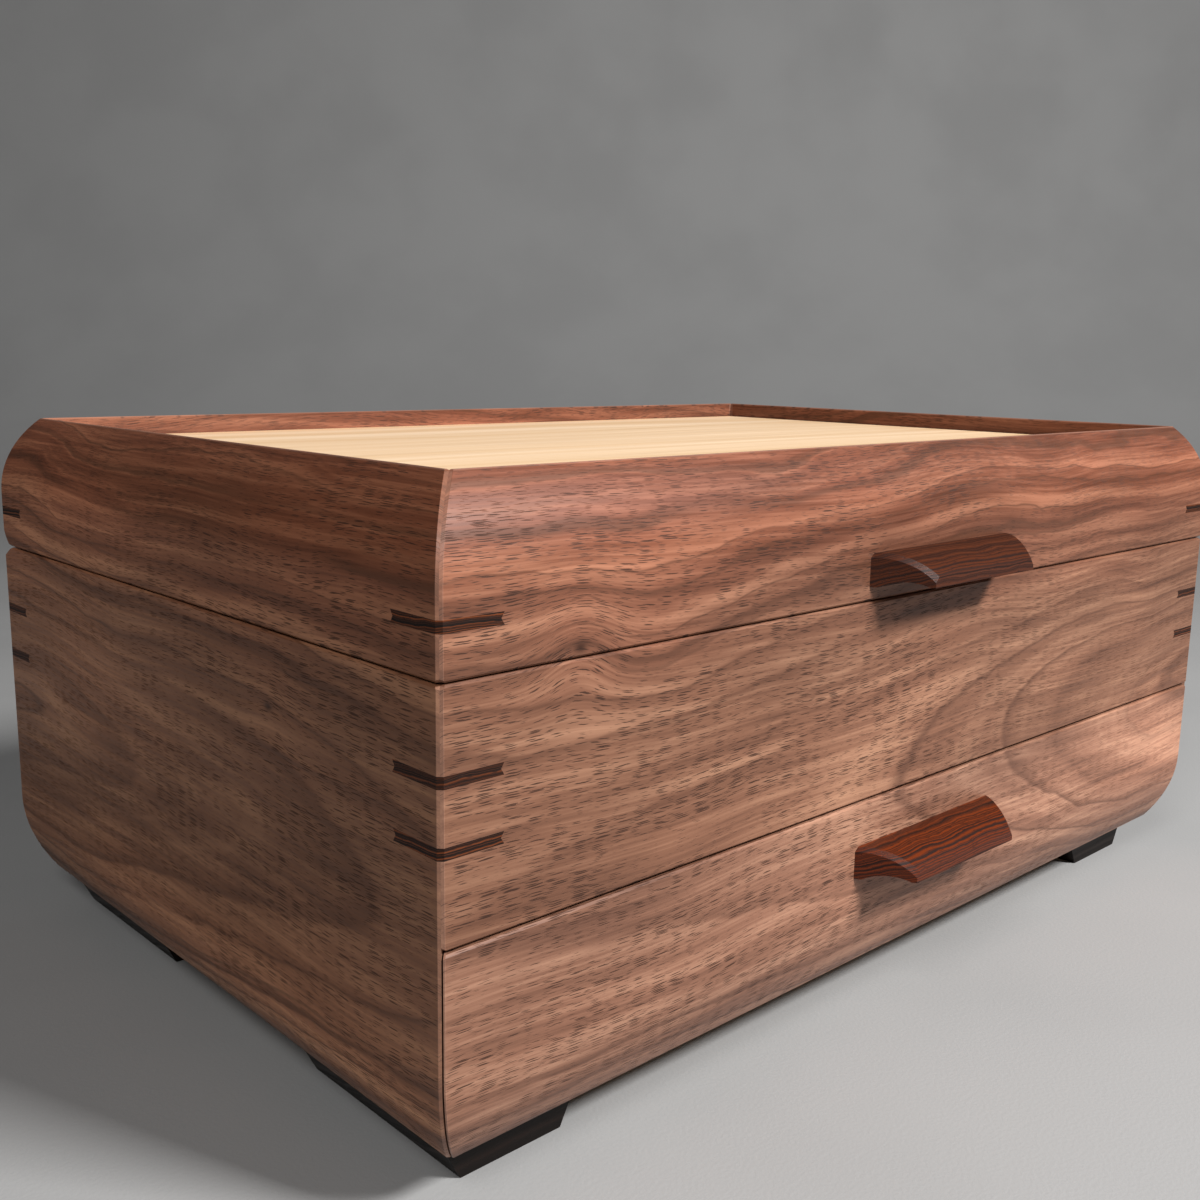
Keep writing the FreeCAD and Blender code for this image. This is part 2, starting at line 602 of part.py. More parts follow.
def bottom_panel():
    """Panel flush with the case's bottom edge, with a tongue in the sides and the back."""
    panel = body("bottom_panel")
    edge = f"{INNER_FRONT} + panel_reveal"
    plan = [(INNER_LEFT, edge), (f"-{INNER_LEFT}", edge), (f"-{INNER_LEFT}", INNER_BACK),
            (INNER_LEFT, INNER_BACK)]
    left, back = f"({INNER_LEFT} - ({tongue}))", f"{INNER_BACK} + {tongue}"
    wide = [(left, edge), (f"-{left}", edge), (f"-{left}", back), (left, back)]
    pad(panel, sketch_on(panel, "XY_Plane", "bottom_panel_plan", [plan], offset=BASE), "bottom_thick")
    pad(panel, sketch_on(panel, "XY_Plane", "bottom_panel_tongue", [wide], offset=BOTTOM_TOP),
        "tongue_thick", back=True)
    return panel


keep(bottom_panel())
feet_names = ("foot_front_left", "foot_front_right", "foot_back_left", "foot_back_right")
for name, piece in zip(feet_names, four_corners("foot", foot("foot_front_left"))):
    piece.Label = name
    keep(piece)

# The drawer: a mitred front in the same curve as the sides, on a plain box.


def drawer_side(label):
    """Drawer side: grooved for the drawer bottom and housed for the drawer back."""
    side = body(label)
    start = f"({INNER_FRONT} - drawer_dado)"
    place(side, DRAWER_BOX_LEFT, start)
    inner = "drawer_side_thick"
    section = [("0", DRAWER_BOX_LOW), (inner, DRAWER_BOX_LOW), (inner, DRAWER_FLOOR_LOW),
               (f"{inner} - groove", DRAWER_FLOOR_LOW), (f"{inner} - groove", DRAWER_FLOOR_TOP),
               (inner, DRAWER_FLOOR_TOP), (inner, DRAWER_BOX_TOP), ("0", DRAWER_BOX_TOP)]
    length = f"{DRAWER_BOX_BACK} - {start}"
    pad(side, sketch_on(side, "XZ_Plane", f"{label}_section", [section]), length, back=True)
    near, far = f"{DRAWER_BACK_FACE} - {start}", length
    housing = [(f"{inner} - back_dado", near), (inner, near), (inner, far), (f"{inner} - back_dado", far)]
    plan = sketch_on(side, "XY_Plane", f"{label}_housing", [housing], offset=DRAWER_FLOOR_TOP)
    pocket(side, plan, back=True)
    return side


drawer_left = keep(drawer_side("drawer_left_side"))
drawer_right = keep(mirror(drawer_left, "drawer_right_side"))
keep(cut(mitred_board("drawer_front", (LEFT, FRONT, "0"), 0, "case_width", drawer_front_section,
                      "mitre_gap"),
         drawer_left, drawer_right))
back_left = f"({DRAWER_INNER_LEFT} - back_dado)"
keep(box("drawer_back", back_left, DRAWER_BACK_FACE, DRAWER_FLOOR_TOP, f"-2 * {back_left}",
         "drawer_side_thick", f"{DRAWER_BOX_TOP} - {DRAWER_FLOOR_TOP}"))
floor_left = f"({DRAWER_INNER_LEFT} - ({tongue}))"
floor_front = f"({INNER_FRONT} - ({tongue}))"
keep(box("drawer_bottom", floor_left, floor_front, DRAWER_FLOOR_LOW, f"-2 * {floor_left}",
         f"{DRAWER_BOX_BACK} - {floor_front}", "drawer_floor_thick"))

# What the drawer slides on and what stops it.
runner = keep(box("drawer_left_runner", DRAWER_BOX_LEFT, f"{INNER_FRONT} + 2 * panel_reveal",
                  BOTTOM_TOP, "drawer_side_thick",
                  f"{INNER_BACK} - {INNER_FRONT} - 2 * panel_reveal", "runner_thick"))
keep(mirror(runner, "drawer_right_runner"))
stop_back = f"({DRAWER_BACK_FACE} - drawer_travel - stop_play)"
stop_low = f"({FLOOR_UNDER} - stop_height)"
stop_screw = keep(screw("stop_screw", "0", f"{stop_back} - stop_depth / 2", stop_low, ACROSS, 180,
                        "stop_screw_length", "stop_screw_head", "stop_screw_shank"))
keep(cut(box("drawer_stop", "-stop_length / 2", f"{stop_back} - stop_depth", stop_low,
             "stop_length", "stop_depth", "stop_height"), stop_screw))
floor = nodes["compartment_floor"]
keep(cut(floor, stop_screw))

# Felt linings and the halved dividers of the top compartment.
keep(box("compartment_felt", f"{INNER_LEFT} + felt_play", f"{INNER_FRONT} + felt_play", FLOOR_TOP,
         "case_width - 2 * wall - 2 * felt_play", "case_depth - 2 * wall - 2 * felt_play",
         "felt_thick"))
keep(box("drawer_felt", f"{DRAWER_INNER_LEFT} + felt_play", f"{INNER_FRONT} + felt_play",
         DRAWER_FLOOR_TOP, f"-2 * {DRAWER_INNER_LEFT} - 2 * felt_play",
         f"{DRAWER_BACK_FACE} - {INNER_FRONT} - 2 * felt_play", "felt_thick"))


def divider(label, role, place_at, length, notches, from_the_top):
    """Divider with a halved notch, half its height deep, at each given distance."""
    strip = body(label)
    place(strip, *place_at)
    half_slot = "(divider_thick / 2 + halving_play)"
    level, edge = ("0", "divider_height") if from_the_top else ("divider_height", "0")
    outline = [("0", level), ("0", edge)]
    for at in notches:
        start, end, deep = f"{at} - {half_slot}", f"{at} + {half_slot}", "divider_height / 2"
        outline += [(start, edge), (start, deep), (end, deep), (end, edge)]
    outline += [(length, edge), (length, level)]
    pad(strip, sketch_on(strip, role, f"{label}_face", [outline]), "divider_thick", both=True)
    return strip


felt_top = f"{FLOOR_TOP} + felt_thick"
long_length = "(case_width - 2 * wall - 2 * divider_play)"
long_places = [f"{long_length} * {i + 1} / {CROSS_DIVIDERS + 1}" for i in range(CROSS_DIVIDERS)]
keep(divider("long_divider", "XZ_Plane", (f"{INNER_LEFT} + divider_play", MIDDLE, felt_top),
             long_length, long_places, True))
cross_length = "(case_depth - 2 * wall - 2 * divider_play)"
for number, at in enumerate(long_places, start=1):
    keep(divider(f"cross_divider_{number}", "YZ_Plane",
                 (f"{INNER_LEFT} + divider_play + {at}", f"{INNER_FRONT} + divider_play", felt_top),
                 cross_length, [f"{cross_length} / 2"], False))

doc.recompute()

# Nothing is written unless every object is sound.
for thing in doc.Objects:
    if "Invalid" in thing.State or "Error" in thing.State:
        raise RuntimeError(f"{thing.Name} failed: {thing.State}")
for label, thing in nodes.items():
    if thing.Shape.isNull() or not thing.Shape.isValid() or not thing.Shape.Solids:
        raise RuntimeError(f"{label} has no valid solid")

os.makedirs("parts", exist_ok=True)
for label, thing in nodes.items():
    thing.Shape.exportStep(f"parts/{label}.step")
print(len(nodes), "nodes,", sum(len(thing.Shape.Solids) for thing in nodes.values()), "solids")
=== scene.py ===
"""Jewelry chest in figured walnut: finishes, linings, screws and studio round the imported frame."""

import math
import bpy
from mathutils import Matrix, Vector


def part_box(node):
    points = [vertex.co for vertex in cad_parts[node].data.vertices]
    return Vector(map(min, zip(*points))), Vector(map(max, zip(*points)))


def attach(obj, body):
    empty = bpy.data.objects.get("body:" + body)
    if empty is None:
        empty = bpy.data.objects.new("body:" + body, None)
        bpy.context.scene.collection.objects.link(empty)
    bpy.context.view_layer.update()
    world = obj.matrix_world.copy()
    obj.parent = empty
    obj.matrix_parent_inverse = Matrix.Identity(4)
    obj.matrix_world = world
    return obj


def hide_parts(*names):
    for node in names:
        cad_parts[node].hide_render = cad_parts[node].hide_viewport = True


bl_info = {
    "name": "Jewelry Chest Finishes",
    "version": (1, 0, 0),
    "blender": (4, 5, 0),
    "location": "3D View > Sidebar > Chest",
    "description": "Woods, felt, brass and studio for a jewelry chest with keyed mitres",
    "category": "Object",
}

import bpy
from bpy.props import FloatProperty, FloatVectorProperty, IntProperty, PointerProperty
from mathutils import Euler, Vector

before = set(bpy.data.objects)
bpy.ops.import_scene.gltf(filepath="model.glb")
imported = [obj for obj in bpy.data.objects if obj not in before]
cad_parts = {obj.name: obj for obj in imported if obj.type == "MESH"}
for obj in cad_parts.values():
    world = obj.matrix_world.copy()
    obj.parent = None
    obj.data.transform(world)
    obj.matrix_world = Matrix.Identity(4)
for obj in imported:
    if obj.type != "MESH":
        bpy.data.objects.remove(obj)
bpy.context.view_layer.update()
MM = 0.001
LEFT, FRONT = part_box("case_left")[0].x / MM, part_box("case_front")[0].y / MM
RIGHT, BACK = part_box("case_right")[1].x / MM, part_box("case_back")[1].y / MM
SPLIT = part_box("case_front")[1].z / MM
RIM_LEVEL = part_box("lid_front")[1].z / MM - SPLIT


# Small helpers for node trees


def add(tree, kind, inputs=None, **settings):
    """Add a node. A socket gets a value, or a link when it is given another node's output."""
    made = tree.nodes.new(kind)
    for name, value in settings.items():
        setattr(made, name, value)
    for key, value in (inputs or {}).items():
        if isinstance(value, bpy.types.NodeSocket):
            tree.links.new(value, made.inputs[key])
        else:
            made.inputs[key].default_value = value
    return made


def calc(tree, operation, *values, clamp=False):
    made = add(tree, "ShaderNodeMath", dict(enumerate(values)), operation=operation, use_clamp=clamp)
    return made.outputs[0]


def spread(tree, value, low, high, new_low=0.0, new_high=1.0, smooth=True):
    """Map a stretch of values onto another, holding its ends."""
    kind = "SMOOTHSTEP" if smooth else "LINEAR"
    made = add(tree, "ShaderNodeMapRange",
               {"Value": value, "From Min": low, "From Max": high, "To Min": new_low, "To Max": new_high},
               interpolation_type=kind)
    return made.outputs["Result"]


def fade_out(tree, distance_squared):
    """1 in the middle, falling softly to 0 past a distance of 1."""
    return calc(tree, "EXPONENT", calc(tree, "MULTIPLY", distance_squared, -1.0))


def vector(tree, x=0.0, y=0.0, z=0.0):
    return add(tree, "ShaderNodeCombineXYZ", {0: x, 1: y, 2: z}).outputs[0]


def noise(tree, place, scale=1.0, detail=2.0, roughness=0.5, distortion=0.0):
    made = add(tree, "ShaderNodeTexNoise",
               {"Vector": place, "Scale": scale, "Detail": detail, "Roughness": roughness,
                "Distortion": distortion}, noise_dimensions="3D")
    return made.outputs[0]


def noise_line(tree, at, detail=3.0, roughness=0.6):
    made = add(tree, "ShaderNodeTexNoise",
               {"W": at, "Scale": 1.0, "Detail": detail, "Roughness": roughness}, noise_dimensions="1D")
    return made.outputs[0]


def blend(tree, share, first, second, kind="MIX"):
    made = add(tree, "ShaderNodeMix", {"Factor": share}, data_type="RGBA", blend_type=kind)
    for key, value in ((6, first), (7, second)):
        if isinstance(value, bpy.types.NodeSocket):
            tree.links.new(value, made.inputs[key])
        else:
            made.inputs[key].default_value = colour(value)
    return made.outputs[2]


def colour(value):
    return (*value[:3], 1.0)


def ramp(tree, value, stops):
    """Colours at their places between 0 and 1."""
    stops = list(stops)
    made = add(tree, "ShaderNodeValToRGB", {0: value})
    points = made.color_ramp.elements
    while len(points) < len(stops):
        points.new(1.0)
    for point, (place, shade) in zip(points, stops):
        point.position = place
        point.color = colour(shade)
    return made.outputs[0]


def millimetres(tree):
    """The object's own coordinates in millimetres, as three separate outputs."""
    place = add(tree, "ShaderNodeTexCoord").outputs["Object"]
    scaled = add(tree, "ShaderNodeVectorMath", {0: place, "Scale": 1 / MM}, operation="SCALE")
    return add(tree, "ShaderNodeSeparateXYZ", {0: scaled.outputs[0]}).outputs[:3]


def new_material(name):
    made = bpy.data.materials.new(name)
    made.use_nodes = True
    made.node_tree.nodes.clear()
    return made, made.node_tree


def finish_surface(tree, shade, roughness, height, depth_mm, **fixed):
    """Principled surface with relief of the given depth; the rest of its values are constant."""
    bump = add(tree, "ShaderNodeBump", {"Height": height, "Distance": depth_mm * MM, "Strength": 1.0})
    surface = add(tree, "ShaderNodeBsdfPrincipled",
                  {"Base Color": shade, "Roughness": roughness, "Normal": bump.outputs[0]})
    for name, value in fixed.items():
        surface.inputs[name.replace("_", " ")].default_value = value
    add(tree, "ShaderNodeOutputMaterial", {"Surface": surface.outputs[0]})


# Sizes and colours that a user would change


def shade_property(name, description, default):
    return FloatVectorProperty(name=name, description=description, subtype="COLOR", size=3,
                               min=0.0, max=1.0, default=default)


class ChestWalnut(bpy.types.PropertyGroup):
    """The figured boards of the case, the lid and the drawer front"""

    light: shade_property("Light", "Pale early wood", (0.345, 0.176, 0.106))
    middle: shade_property("Middle", "Main tone between the rings", (0.192, 0.085, 0.049))
    dark: shade_property("Dark", "Dark late wood", (0.085, 0.034, 0.019))
    pore: shade_property("Pore", "Open pores", (0.028, 0.010, 0.005))
    rose: shade_property("Rose", "Tint of the heartwood near the lid", (0.88, 0.66, 0.62))
    # Lighter colour of the sanded corners, also used for a painted highlight on those corners and a painted
    # sheen on the lid's rim tops
    rubbed_edge_and_sheen: shade_property("Eased", "Rubbed corners and edges", (0.46, 0.26, 0.19))
    ring_spacing: FloatProperty(name="Ring spacing", description="Between strong rings, millimetres",
                                default=15.0, min=2.0)
    pore_length: FloatProperty(name="Pore length", description="Along the grain, millimetres",
                               default=7.5, min=0.5)
    pore_width: FloatProperty(name="Pore width", description="Across the grain, millimetres",
                              default=0.42, min=0.05)
    roughness: FloatProperty(name="Roughness", description="Satin oil finish", default=0.40,
                             min=0.0, max=1.0)


class ChestAccents(bpy.types.PropertyGroup):
    """The lid panel, the dark splines and pulls, the feet, the felt and the brass"""

    panel: shade_property("Panel", "Pale lid panel", (0.96, 0.70, 0.46))
    panel_streak: shade_property("Panel streak", "Darker growth of the panel", (0.78, 0.50, 0.26))
    spline_dark: shade_property("Spline dark", "Dark bands of the splines", (0.006, 0.002, 0.001))
    spline_light: shade_property("Spline light", "Orange bands of the splines", (0.13, 0.032, 0.008))
    pull_dark: shade_property("Pull dark", "Dark bands of the pulls", (0.016, 0.004, 0.002))
    pull_light: shade_property("Pull light", "Red-brown bands of the pulls", (0.068, 0.016, 0.005))
    # The foot colours are darkened far below the wood's own colour: painted shade under the case
    shaded_foot_dark: shade_property("Foot dark", "Dark bands of the feet", (0.004, 0.002, 0.0012))
    shaded_foot_light: shade_property("Foot light", "Brown bands of the feet", (0.012, 0.005, 0.003))
    inner: shade_property("Inner", "Pale wood of the drawer box and dividers", (0.62, 0.44, 0.28))
    inner_streak: shade_property("Inner streak", "Darker growth of the pale wood", (0.47, 0.29, 0.16))
    plywood: shade_property("Plywood", "Floors and bottoms", (0.50, 0.33, 0.19))
    plywood_streak: shade_property("Plywood streak", "Darker growth of the plywood", (0.36, 0.21, 0.11))
    lining: shade_property("Lining", "Felt", (0.16, 0.02, 0.028))
    brass: shade_property("Brass", "Hinges and screws", (0.72, 0.46, 0.17))


class ChestScrews(bpy.types.PropertyGroup):
    """Slotted countersunk hinge screws"""

    slot_width: FloatProperty(name="Slot width", description="Screwdriver slot", default=0.55 * MM,
                              unit="LENGTH")
    slot_depth: FloatProperty(name="Slot depth", description="Screwdriver slot", default=0.45 * MM,
                              unit="LENGTH")
    seed: IntProperty(name="Seed", description="Turns each slot a different way", default=4)


class ChestStudio(bpy.types.PropertyGroup):
    """Camera and lights"""

    lens: FloatProperty(name="Lens", description="Focal length", default=39.35, subtype="DISTANCE_CAMERA")
    eye: FloatVectorProperty(name="Eye", description="Where the camera stands", subtype="TRANSLATION",
                             default=(-0.3727, -0.3619, 0.2150))
    turn: FloatVectorProperty(name="Turn", description="How the camera is turned", subtype="EULER",
                              default=tuple(math.radians(a) for a in (79.316, -0.923, -43.032)))
    key: FloatProperty(name="Key", description="Soft light above the front", default=52.0,
                       subtype="POWER")
    fill: FloatProperty(name="Fill", description="Soft light above the left side", default=8.5,
                        subtype="POWER")
    sky: FloatProperty(name="Sky", description="Even light all round", default=0.06, min=0.0)
    floor: shade_property("Floor", "Plain pale floor", (0.31, 0.307, 0.303))


# Woods


# Walnut patterns: length along the grain and across it, in millimetres
SLOW_SWAY, MIDDLE_SWAY, QUICK_SWAY = (150.0, 60.0), (40.0, 17.0), (12.0, 6.0)
GRAIN_BOW = (130.0, 190.0)
FIBRE, STREAK, PATCH = (50.0, 0.85), (85.0, 5.0), (120.0, 46.0)
RING_FADING, PORE_CROWD, PORE_WAVER = (90.0, 34.0), (38.0, 6.0), (4.0, 1.2)
KNOT_SWELL = (14.0, 15.0)
# How many times smaller than its swelling the dark spot of a knot is, squared
KNOT_SPOT = (40.0, 120.0)

# How much each pattern moves the rings or the tone
MIDDLE_SWAY_SHARE, QUICK_SWAY_SHARE, BOW_SHARE = 0.22, 0.04, 0.6
FIBRE_SHARE, STREAK_SHARE, RING_TONE_SHARE, TONE_DROP = 0.36, 0.42, 0.46, 0.12
RING_UNEVENNESS = 1.3
RADIUS_OF_HALF_SPACING = 160.0
SEED_STEP = 173.0

# Pores: radius in cells where they are sparse and crowded, and of the least and greatest in a place
PORE_RADIUS, PORE_VARIETY = (0.15, 0.42), (0.30, 1.10)
PORE_SHARPNESS = 9.0

# Heights below and above the split, in millimetres
BELLY_DEPTH = 85.0
RIM_EDGE = 0.5
# Half width of an eased corner along the board, and the width over which it fades
EASED_REACH, EASED_FADE = 1.2, 0.3


def walnut_figure():
    """Group: growth rings round a slanting pith, fibres and pores, from a board's own axes."""
    tree = bpy.data.node_groups.new("walnut figure", "ShaderNodeTree")
    face = tree.interface
    for name in ("Along", "Across", "Depth", "Pith height", "Pith depth", "Pith end", "Pith reach",
                 "Ring spacing", "Knot along", "Knot across", "Knot lift", "Wander", "Seed",
                 "Pore length", "Pore width"):
        face.new_socket(name, in_out="INPUT", socket_type="NodeSocketFloat")
    for name in ("Tone", "Rings", "Patch", "Pores", "Fibre", "Knot"):
        face.new_socket(name, in_out="OUTPUT", socket_type="NodeSocketFloat")
    given = tree.nodes.new("NodeGroupInput").outputs
    along, across, depth = given["Along"], given["Across"], given["Depth"]
    seeded = calc(tree, "MULTIPLY_ADD", given["Seed"], SEED_STEP, depth)

    def stretched(a, b, level=across):
        """Place scaled by the length of the pattern along, and across and into the board."""
        return vector(tree, calc(tree, "DIVIDE", along, a), calc(tree, "DIVIDE", level, b),
                      calc(tree, "DIVIDE", seeded, b))

    def sway(a, b, share, detail):
        """Slow wandering of the figure across the board, in millimetres."""
        off_middle = calc(tree, "SUBTRACT", noise(tree, stretched(a, b), detail=detail), 0.5)
        return calc(tree, "MULTIPLY", off_middle, calc(tree, "MULTIPLY", given["Wander"], share))

    wander = calc(tree, "ADD", sway(*SLOW_SWAY, 1.0, 1.5), sway(*MIDDLE_SWAY, MIDDLE_SWAY_SHARE, 2.0))
    wander = calc(tree, "ADD", wander, sway(*QUICK_SWAY, QUICK_SWAY_SHARE, 1.0))
    bow = sway(*GRAIN_BOW, BOW_SHARE, 1.0)
    beside = calc(tree, "DIVIDE", calc(tree, "SUBTRACT", along, given["Knot along"]), KNOT_SWELL[0])
    above = calc(tree, "DIVIDE", calc(tree, "SUBTRACT", across, given["Knot across"]), KNOT_SWELL[1])
    beside_squared = calc(tree, "MULTIPLY", beside, beside)
    above_squared = calc(tree, "MULTIPLY", above, above)
    swell = calc(tree, "MULTIPLY", given["Knot lift"],
                 fade_out(tree, calc(tree, "ADD", beside_squared, above_squared)))
    level = calc(tree, "SUBTRACT", calc(tree, "ADD", across, wander), swell)
    grain = calc(tree, "SUBTRACT", calc(tree, "ADD", across, bow), swell)

    from_end = calc(tree, "SUBTRACT", given["Pith end"], along)
    slant = calc(tree, "TANH", calc(tree, "DIVIDE", from_end, given["Pith reach"]))
    sunk = calc(tree, "MULTIPLY_ADD", slant, given["Pith depth"], depth)
    off = calc(tree, "SUBTRACT", level, given["Pith height"])
    radius = calc(tree, "SQRT", calc(tree, "ADD", calc(tree, "MULTIPLY", sunk, sunk),
                                     calc(tree, "MULTIPLY", off, off)))
    closer = calc(tree, "MULTIPLY_ADD", radius, 1 / RADIUS_OF_HALF_SPACING, 1.0)
    turns = calc(tree, "DIVIDE", calc(tree, "MULTIPLY", radius, closer), given["Ring spacing"])
    turns = calc(tree, "ADD", turns, given["Seed"])
    uneven = noise_line(tree, turns, 3.0, 0.55)
    saw = calc(tree, "FRACT", calc(tree, "MULTIPLY_ADD", uneven, RING_UNEVENNESS, turns))
    edge = calc(tree, "ABSOLUTE", calc(tree, "MULTIPLY_ADD", saw, 2.0, -1.0))
    late = spread(tree, edge, 0.62, 1.0)
    strong = spread(tree, noise_line(tree, calc(tree, "MULTIPLY", turns, 0.6), 1.0, 0.5), 0.38, 0.54)
    fading = spread(tree, noise(tree, stretched(*RING_FADING), detail=1.0), 0.28, 0.5)
    late = calc(tree, "MULTIPLY", calc(tree, "MULTIPLY", late, strong), fading)

    fibre = noise(tree, stretched(*FIBRE, grain), detail=3.0, roughness=0.6)
    streak = noise(tree, stretched(*STREAK, grain), detail=3.0, roughness=0.6)
    patch = noise(tree, stretched(*PATCH), detail=2.5, roughness=0.55)
    tone = calc(tree, "MULTIPLY_ADD", streak, STREAK_SHARE, calc(tree, "MULTIPLY", fibre, FIBRE_SHARE))
    tone = calc(tree, "MULTIPLY_ADD", uneven, RING_TONE_SHARE, tone)
    tone = calc(tree, "SUBTRACT", tone, TONE_DROP)

    over_belly = calc(tree, "SIGN", calc(tree, "ADD", across, BELLY_DEPTH))
    far_side = calc(tree, "MULTIPLY", depth, over_belly)
    wavy = calc(tree, "MULTIPLY", calc(tree, "SUBTRACT", noise(tree, stretched(*PORE_WAVER)), 0.5), 0.5)
    lane = calc(tree, "ADD", calc(tree, "ADD", grain, far_side), wavy)
    lane = calc(tree, "DIVIDE", lane, given["Pore width"])
    cells = add(tree, "ShaderNodeTexVoronoi",
                {"Vector": vector(tree, calc(tree, "DIVIDE", along, given["Pore length"]), lane),
                 "Scale": 1.0, "Randomness": 1.0}, voronoi_dimensions="2D", feature="F1")
    crowd = noise(tree, stretched(*PORE_CROWD), detail=2.0)
    chance = add(tree, "ShaderNodeSeparateColor", {0: cells.outputs["Color"]}).outputs[0]
    size = calc(tree, "MULTIPLY", spread(tree, crowd, 0.32, 0.58, *PORE_RADIUS, smooth=False),
                spread(tree, chance, 0.0, 1.0, *PORE_VARIETY, smooth=False))
    gap = calc(tree, "SUBTRACT", size, cells.outputs["Distance"])
    pores = calc(tree, "MULTIPLY", gap, PORE_SHARPNESS, clamp=True)

    spot = calc(tree, "ADD", calc(tree, "MULTIPLY", beside_squared, KNOT_SPOT[0]),
                calc(tree, "MULTIPLY", above_squared, KNOT_SPOT[1]))
    knot = fade_out(tree, spot)
    gives = tree.nodes.new("NodeGroupOutput").inputs
    for name, value in (("Tone", tone), ("Rings", late), ("Patch", patch), ("Pores", pores),
                        ("Fibre", fibre), ("Knot", knot)):
        tree.links.new(value, gives[name])
    return tree


# Each board, in millimetres from the start of its plank and from the split between case and lid.
# axis: which coordinate, its direction, where it starts
# pith: height, depth, the place along where it meets the face, length over which it dives
# knot: along, across, how far the grain swells round it
# open pores: where along they start and end to change, and how strong they are there
# patch where the colour is made lighter or darker: along, across, half length, half width, change of tone
FRONT_PLANK = {"along": (0, 1, LEFT), "depth": (1, 1, FRONT), "pith": (-64.0, 62.0, 406.0, 200.0),
               "knot": (43.0, 3.0, 7.0), "wander": 36.0, "seed": 3.0, "length": RIGHT - LEFT,
               "open_pores": (150.0, 340.0, 0.86, 0.40),
               "patches": ((35.0, 24.0, 50.0, 14.0, 0.25), (190.0, 14.0, 80.0, 15.0, -0.3),
                           (40.0, -30.0, 50.0, 25.0, 0.1), (375.0, -90.0, 80.0, 26.0, 0.75),
                           (200.0, -90.0, 80.0, 24.0, 0.2), (365.0, 5.0, 70.0, 28.0, -0.15))}
BOARDS = {
    "walnut front": {"nodes": ("lid_front", "case_front"), "tint": (1.0, 1.0, 1.0), **FRONT_PLANK},
    "walnut drawer": {"nodes": ("drawer_front",), "tint": (1.12, 1.17, 1.25), **FRONT_PLANK},
    "walnut left": {
        # The left boards' tint darkens them: painted shade on the side turned from the key light, with a
        # slightly warmer hue
        "nodes": ("lid_left", "case_left"), "tint": (0.86, 0.82, 0.72),
        "along": (1, -1, BACK), "depth": (0, 1, LEFT), "pith": (-58.0, 80.0, 0.0, -430.0),
        "knot": (196.0, -21.0, 2.0), "wander": 30.0, "seed": 7.0, "length": BACK - FRONT,
        "open_pores": (30.0, 220.0, 0.42, 0.82),
        "patches": ((40.0, 25.0, 90.0, 24.0, 0.6), (60.0, -30.0, 90.0, 40.0, 0.35),
                    (130.0, -110.0, 140.0, 18.0, 0.8), (250.0, -25.0, 60.0, 20.0, -0.15),
                    (240.0, -60.0, 60.0, 20.0, -0.15))},
    "walnut right": {
        "nodes": ("lid_right", "case_right"), "tint": (1.0, 1.0, 1.0),
        "along": (1, 1, FRONT), "depth": (0, -1, RIGHT), "pith": (-40.0, 60.0, 0.0, -230.0),
        "knot": (60.0, -80.0, 3.0), "wander": 34.0, "seed": 12.0, "length": BACK - FRONT,
        "open_pores": (0.0, 260.0, 0.5, 0.8),
        "patches": ((80.0, -40.0, 90.0, 30.0, 0.2),)},
    "walnut back": {
        "nodes": ("lid_back", "case_back"), "tint": (1.0, 1.0, 1.0),
        "along": (0, -1, RIGHT), "depth": (1, -1, BACK), "pith": (-50.0, 70.0, 330.0, 260.0),
        "knot": (250.0, -60.0, 5.0), "wander": 34.0, "seed": 17.0, "length": RIGHT - LEFT,
        "open_pores": (100.0, 300.0, 0.8, 0.6),
        "patches": ((120.0, -60.0, 110.0, 30.0, 0.2),)},
}


# How strongly each mark shows in the colour (the corner mark is partly sanded wood and partly painted
# highlight, the rim mark is painted sheen), and the depth of the relief in millimetres
RING_STRENGTH, KNOT_STRENGTH, CORNER_WEAR_AND_HIGHLIGHT, RIM_SHEEN = 0.66, 0.9, 0.22, 0.3
WALNUT_RELIEF = 0.015
TONE_STOPS = (0.30, 0.49, 0.68)
# Heights over which the heartwood turns rosy, and how far the patches push that up and down
HEART_START, HEART_END, HEART_WANDER = 5.0, 90.0, 70.0


def rubbed_and_highlit_corner(tree, along, across, depth, length):
    """Where the outer corners are bevelled, close to the mitres, off the rim and the split: there the
    colour is lightened, partly as sanded wood and partly as painted highlight.
    """
    from_far_end = calc(tree, "SUBTRACT", length, along)
    from_mitre = calc(tree, "SUBTRACT", calc(tree, "MINIMUM", along, from_far_end), depth)
    flat = spread(tree, calc(tree, "ABSOLUTE", from_mitre), EASED_REACH, EASED_REACH + EASED_FADE, 1.0, 0.0)
    off_split = spread(tree, calc(tree, "ABSOLUTE", across), 0.2, 0.4)
    off_rim = spread(tree, across, RIM_LEVEL - 0.6, RIM_LEVEL - EASED_FADE, 1.0, 0.0)
    return calc(tree, "MULTIPLY", flat, calc(tree, "MULTIPLY", off_split, off_rim))


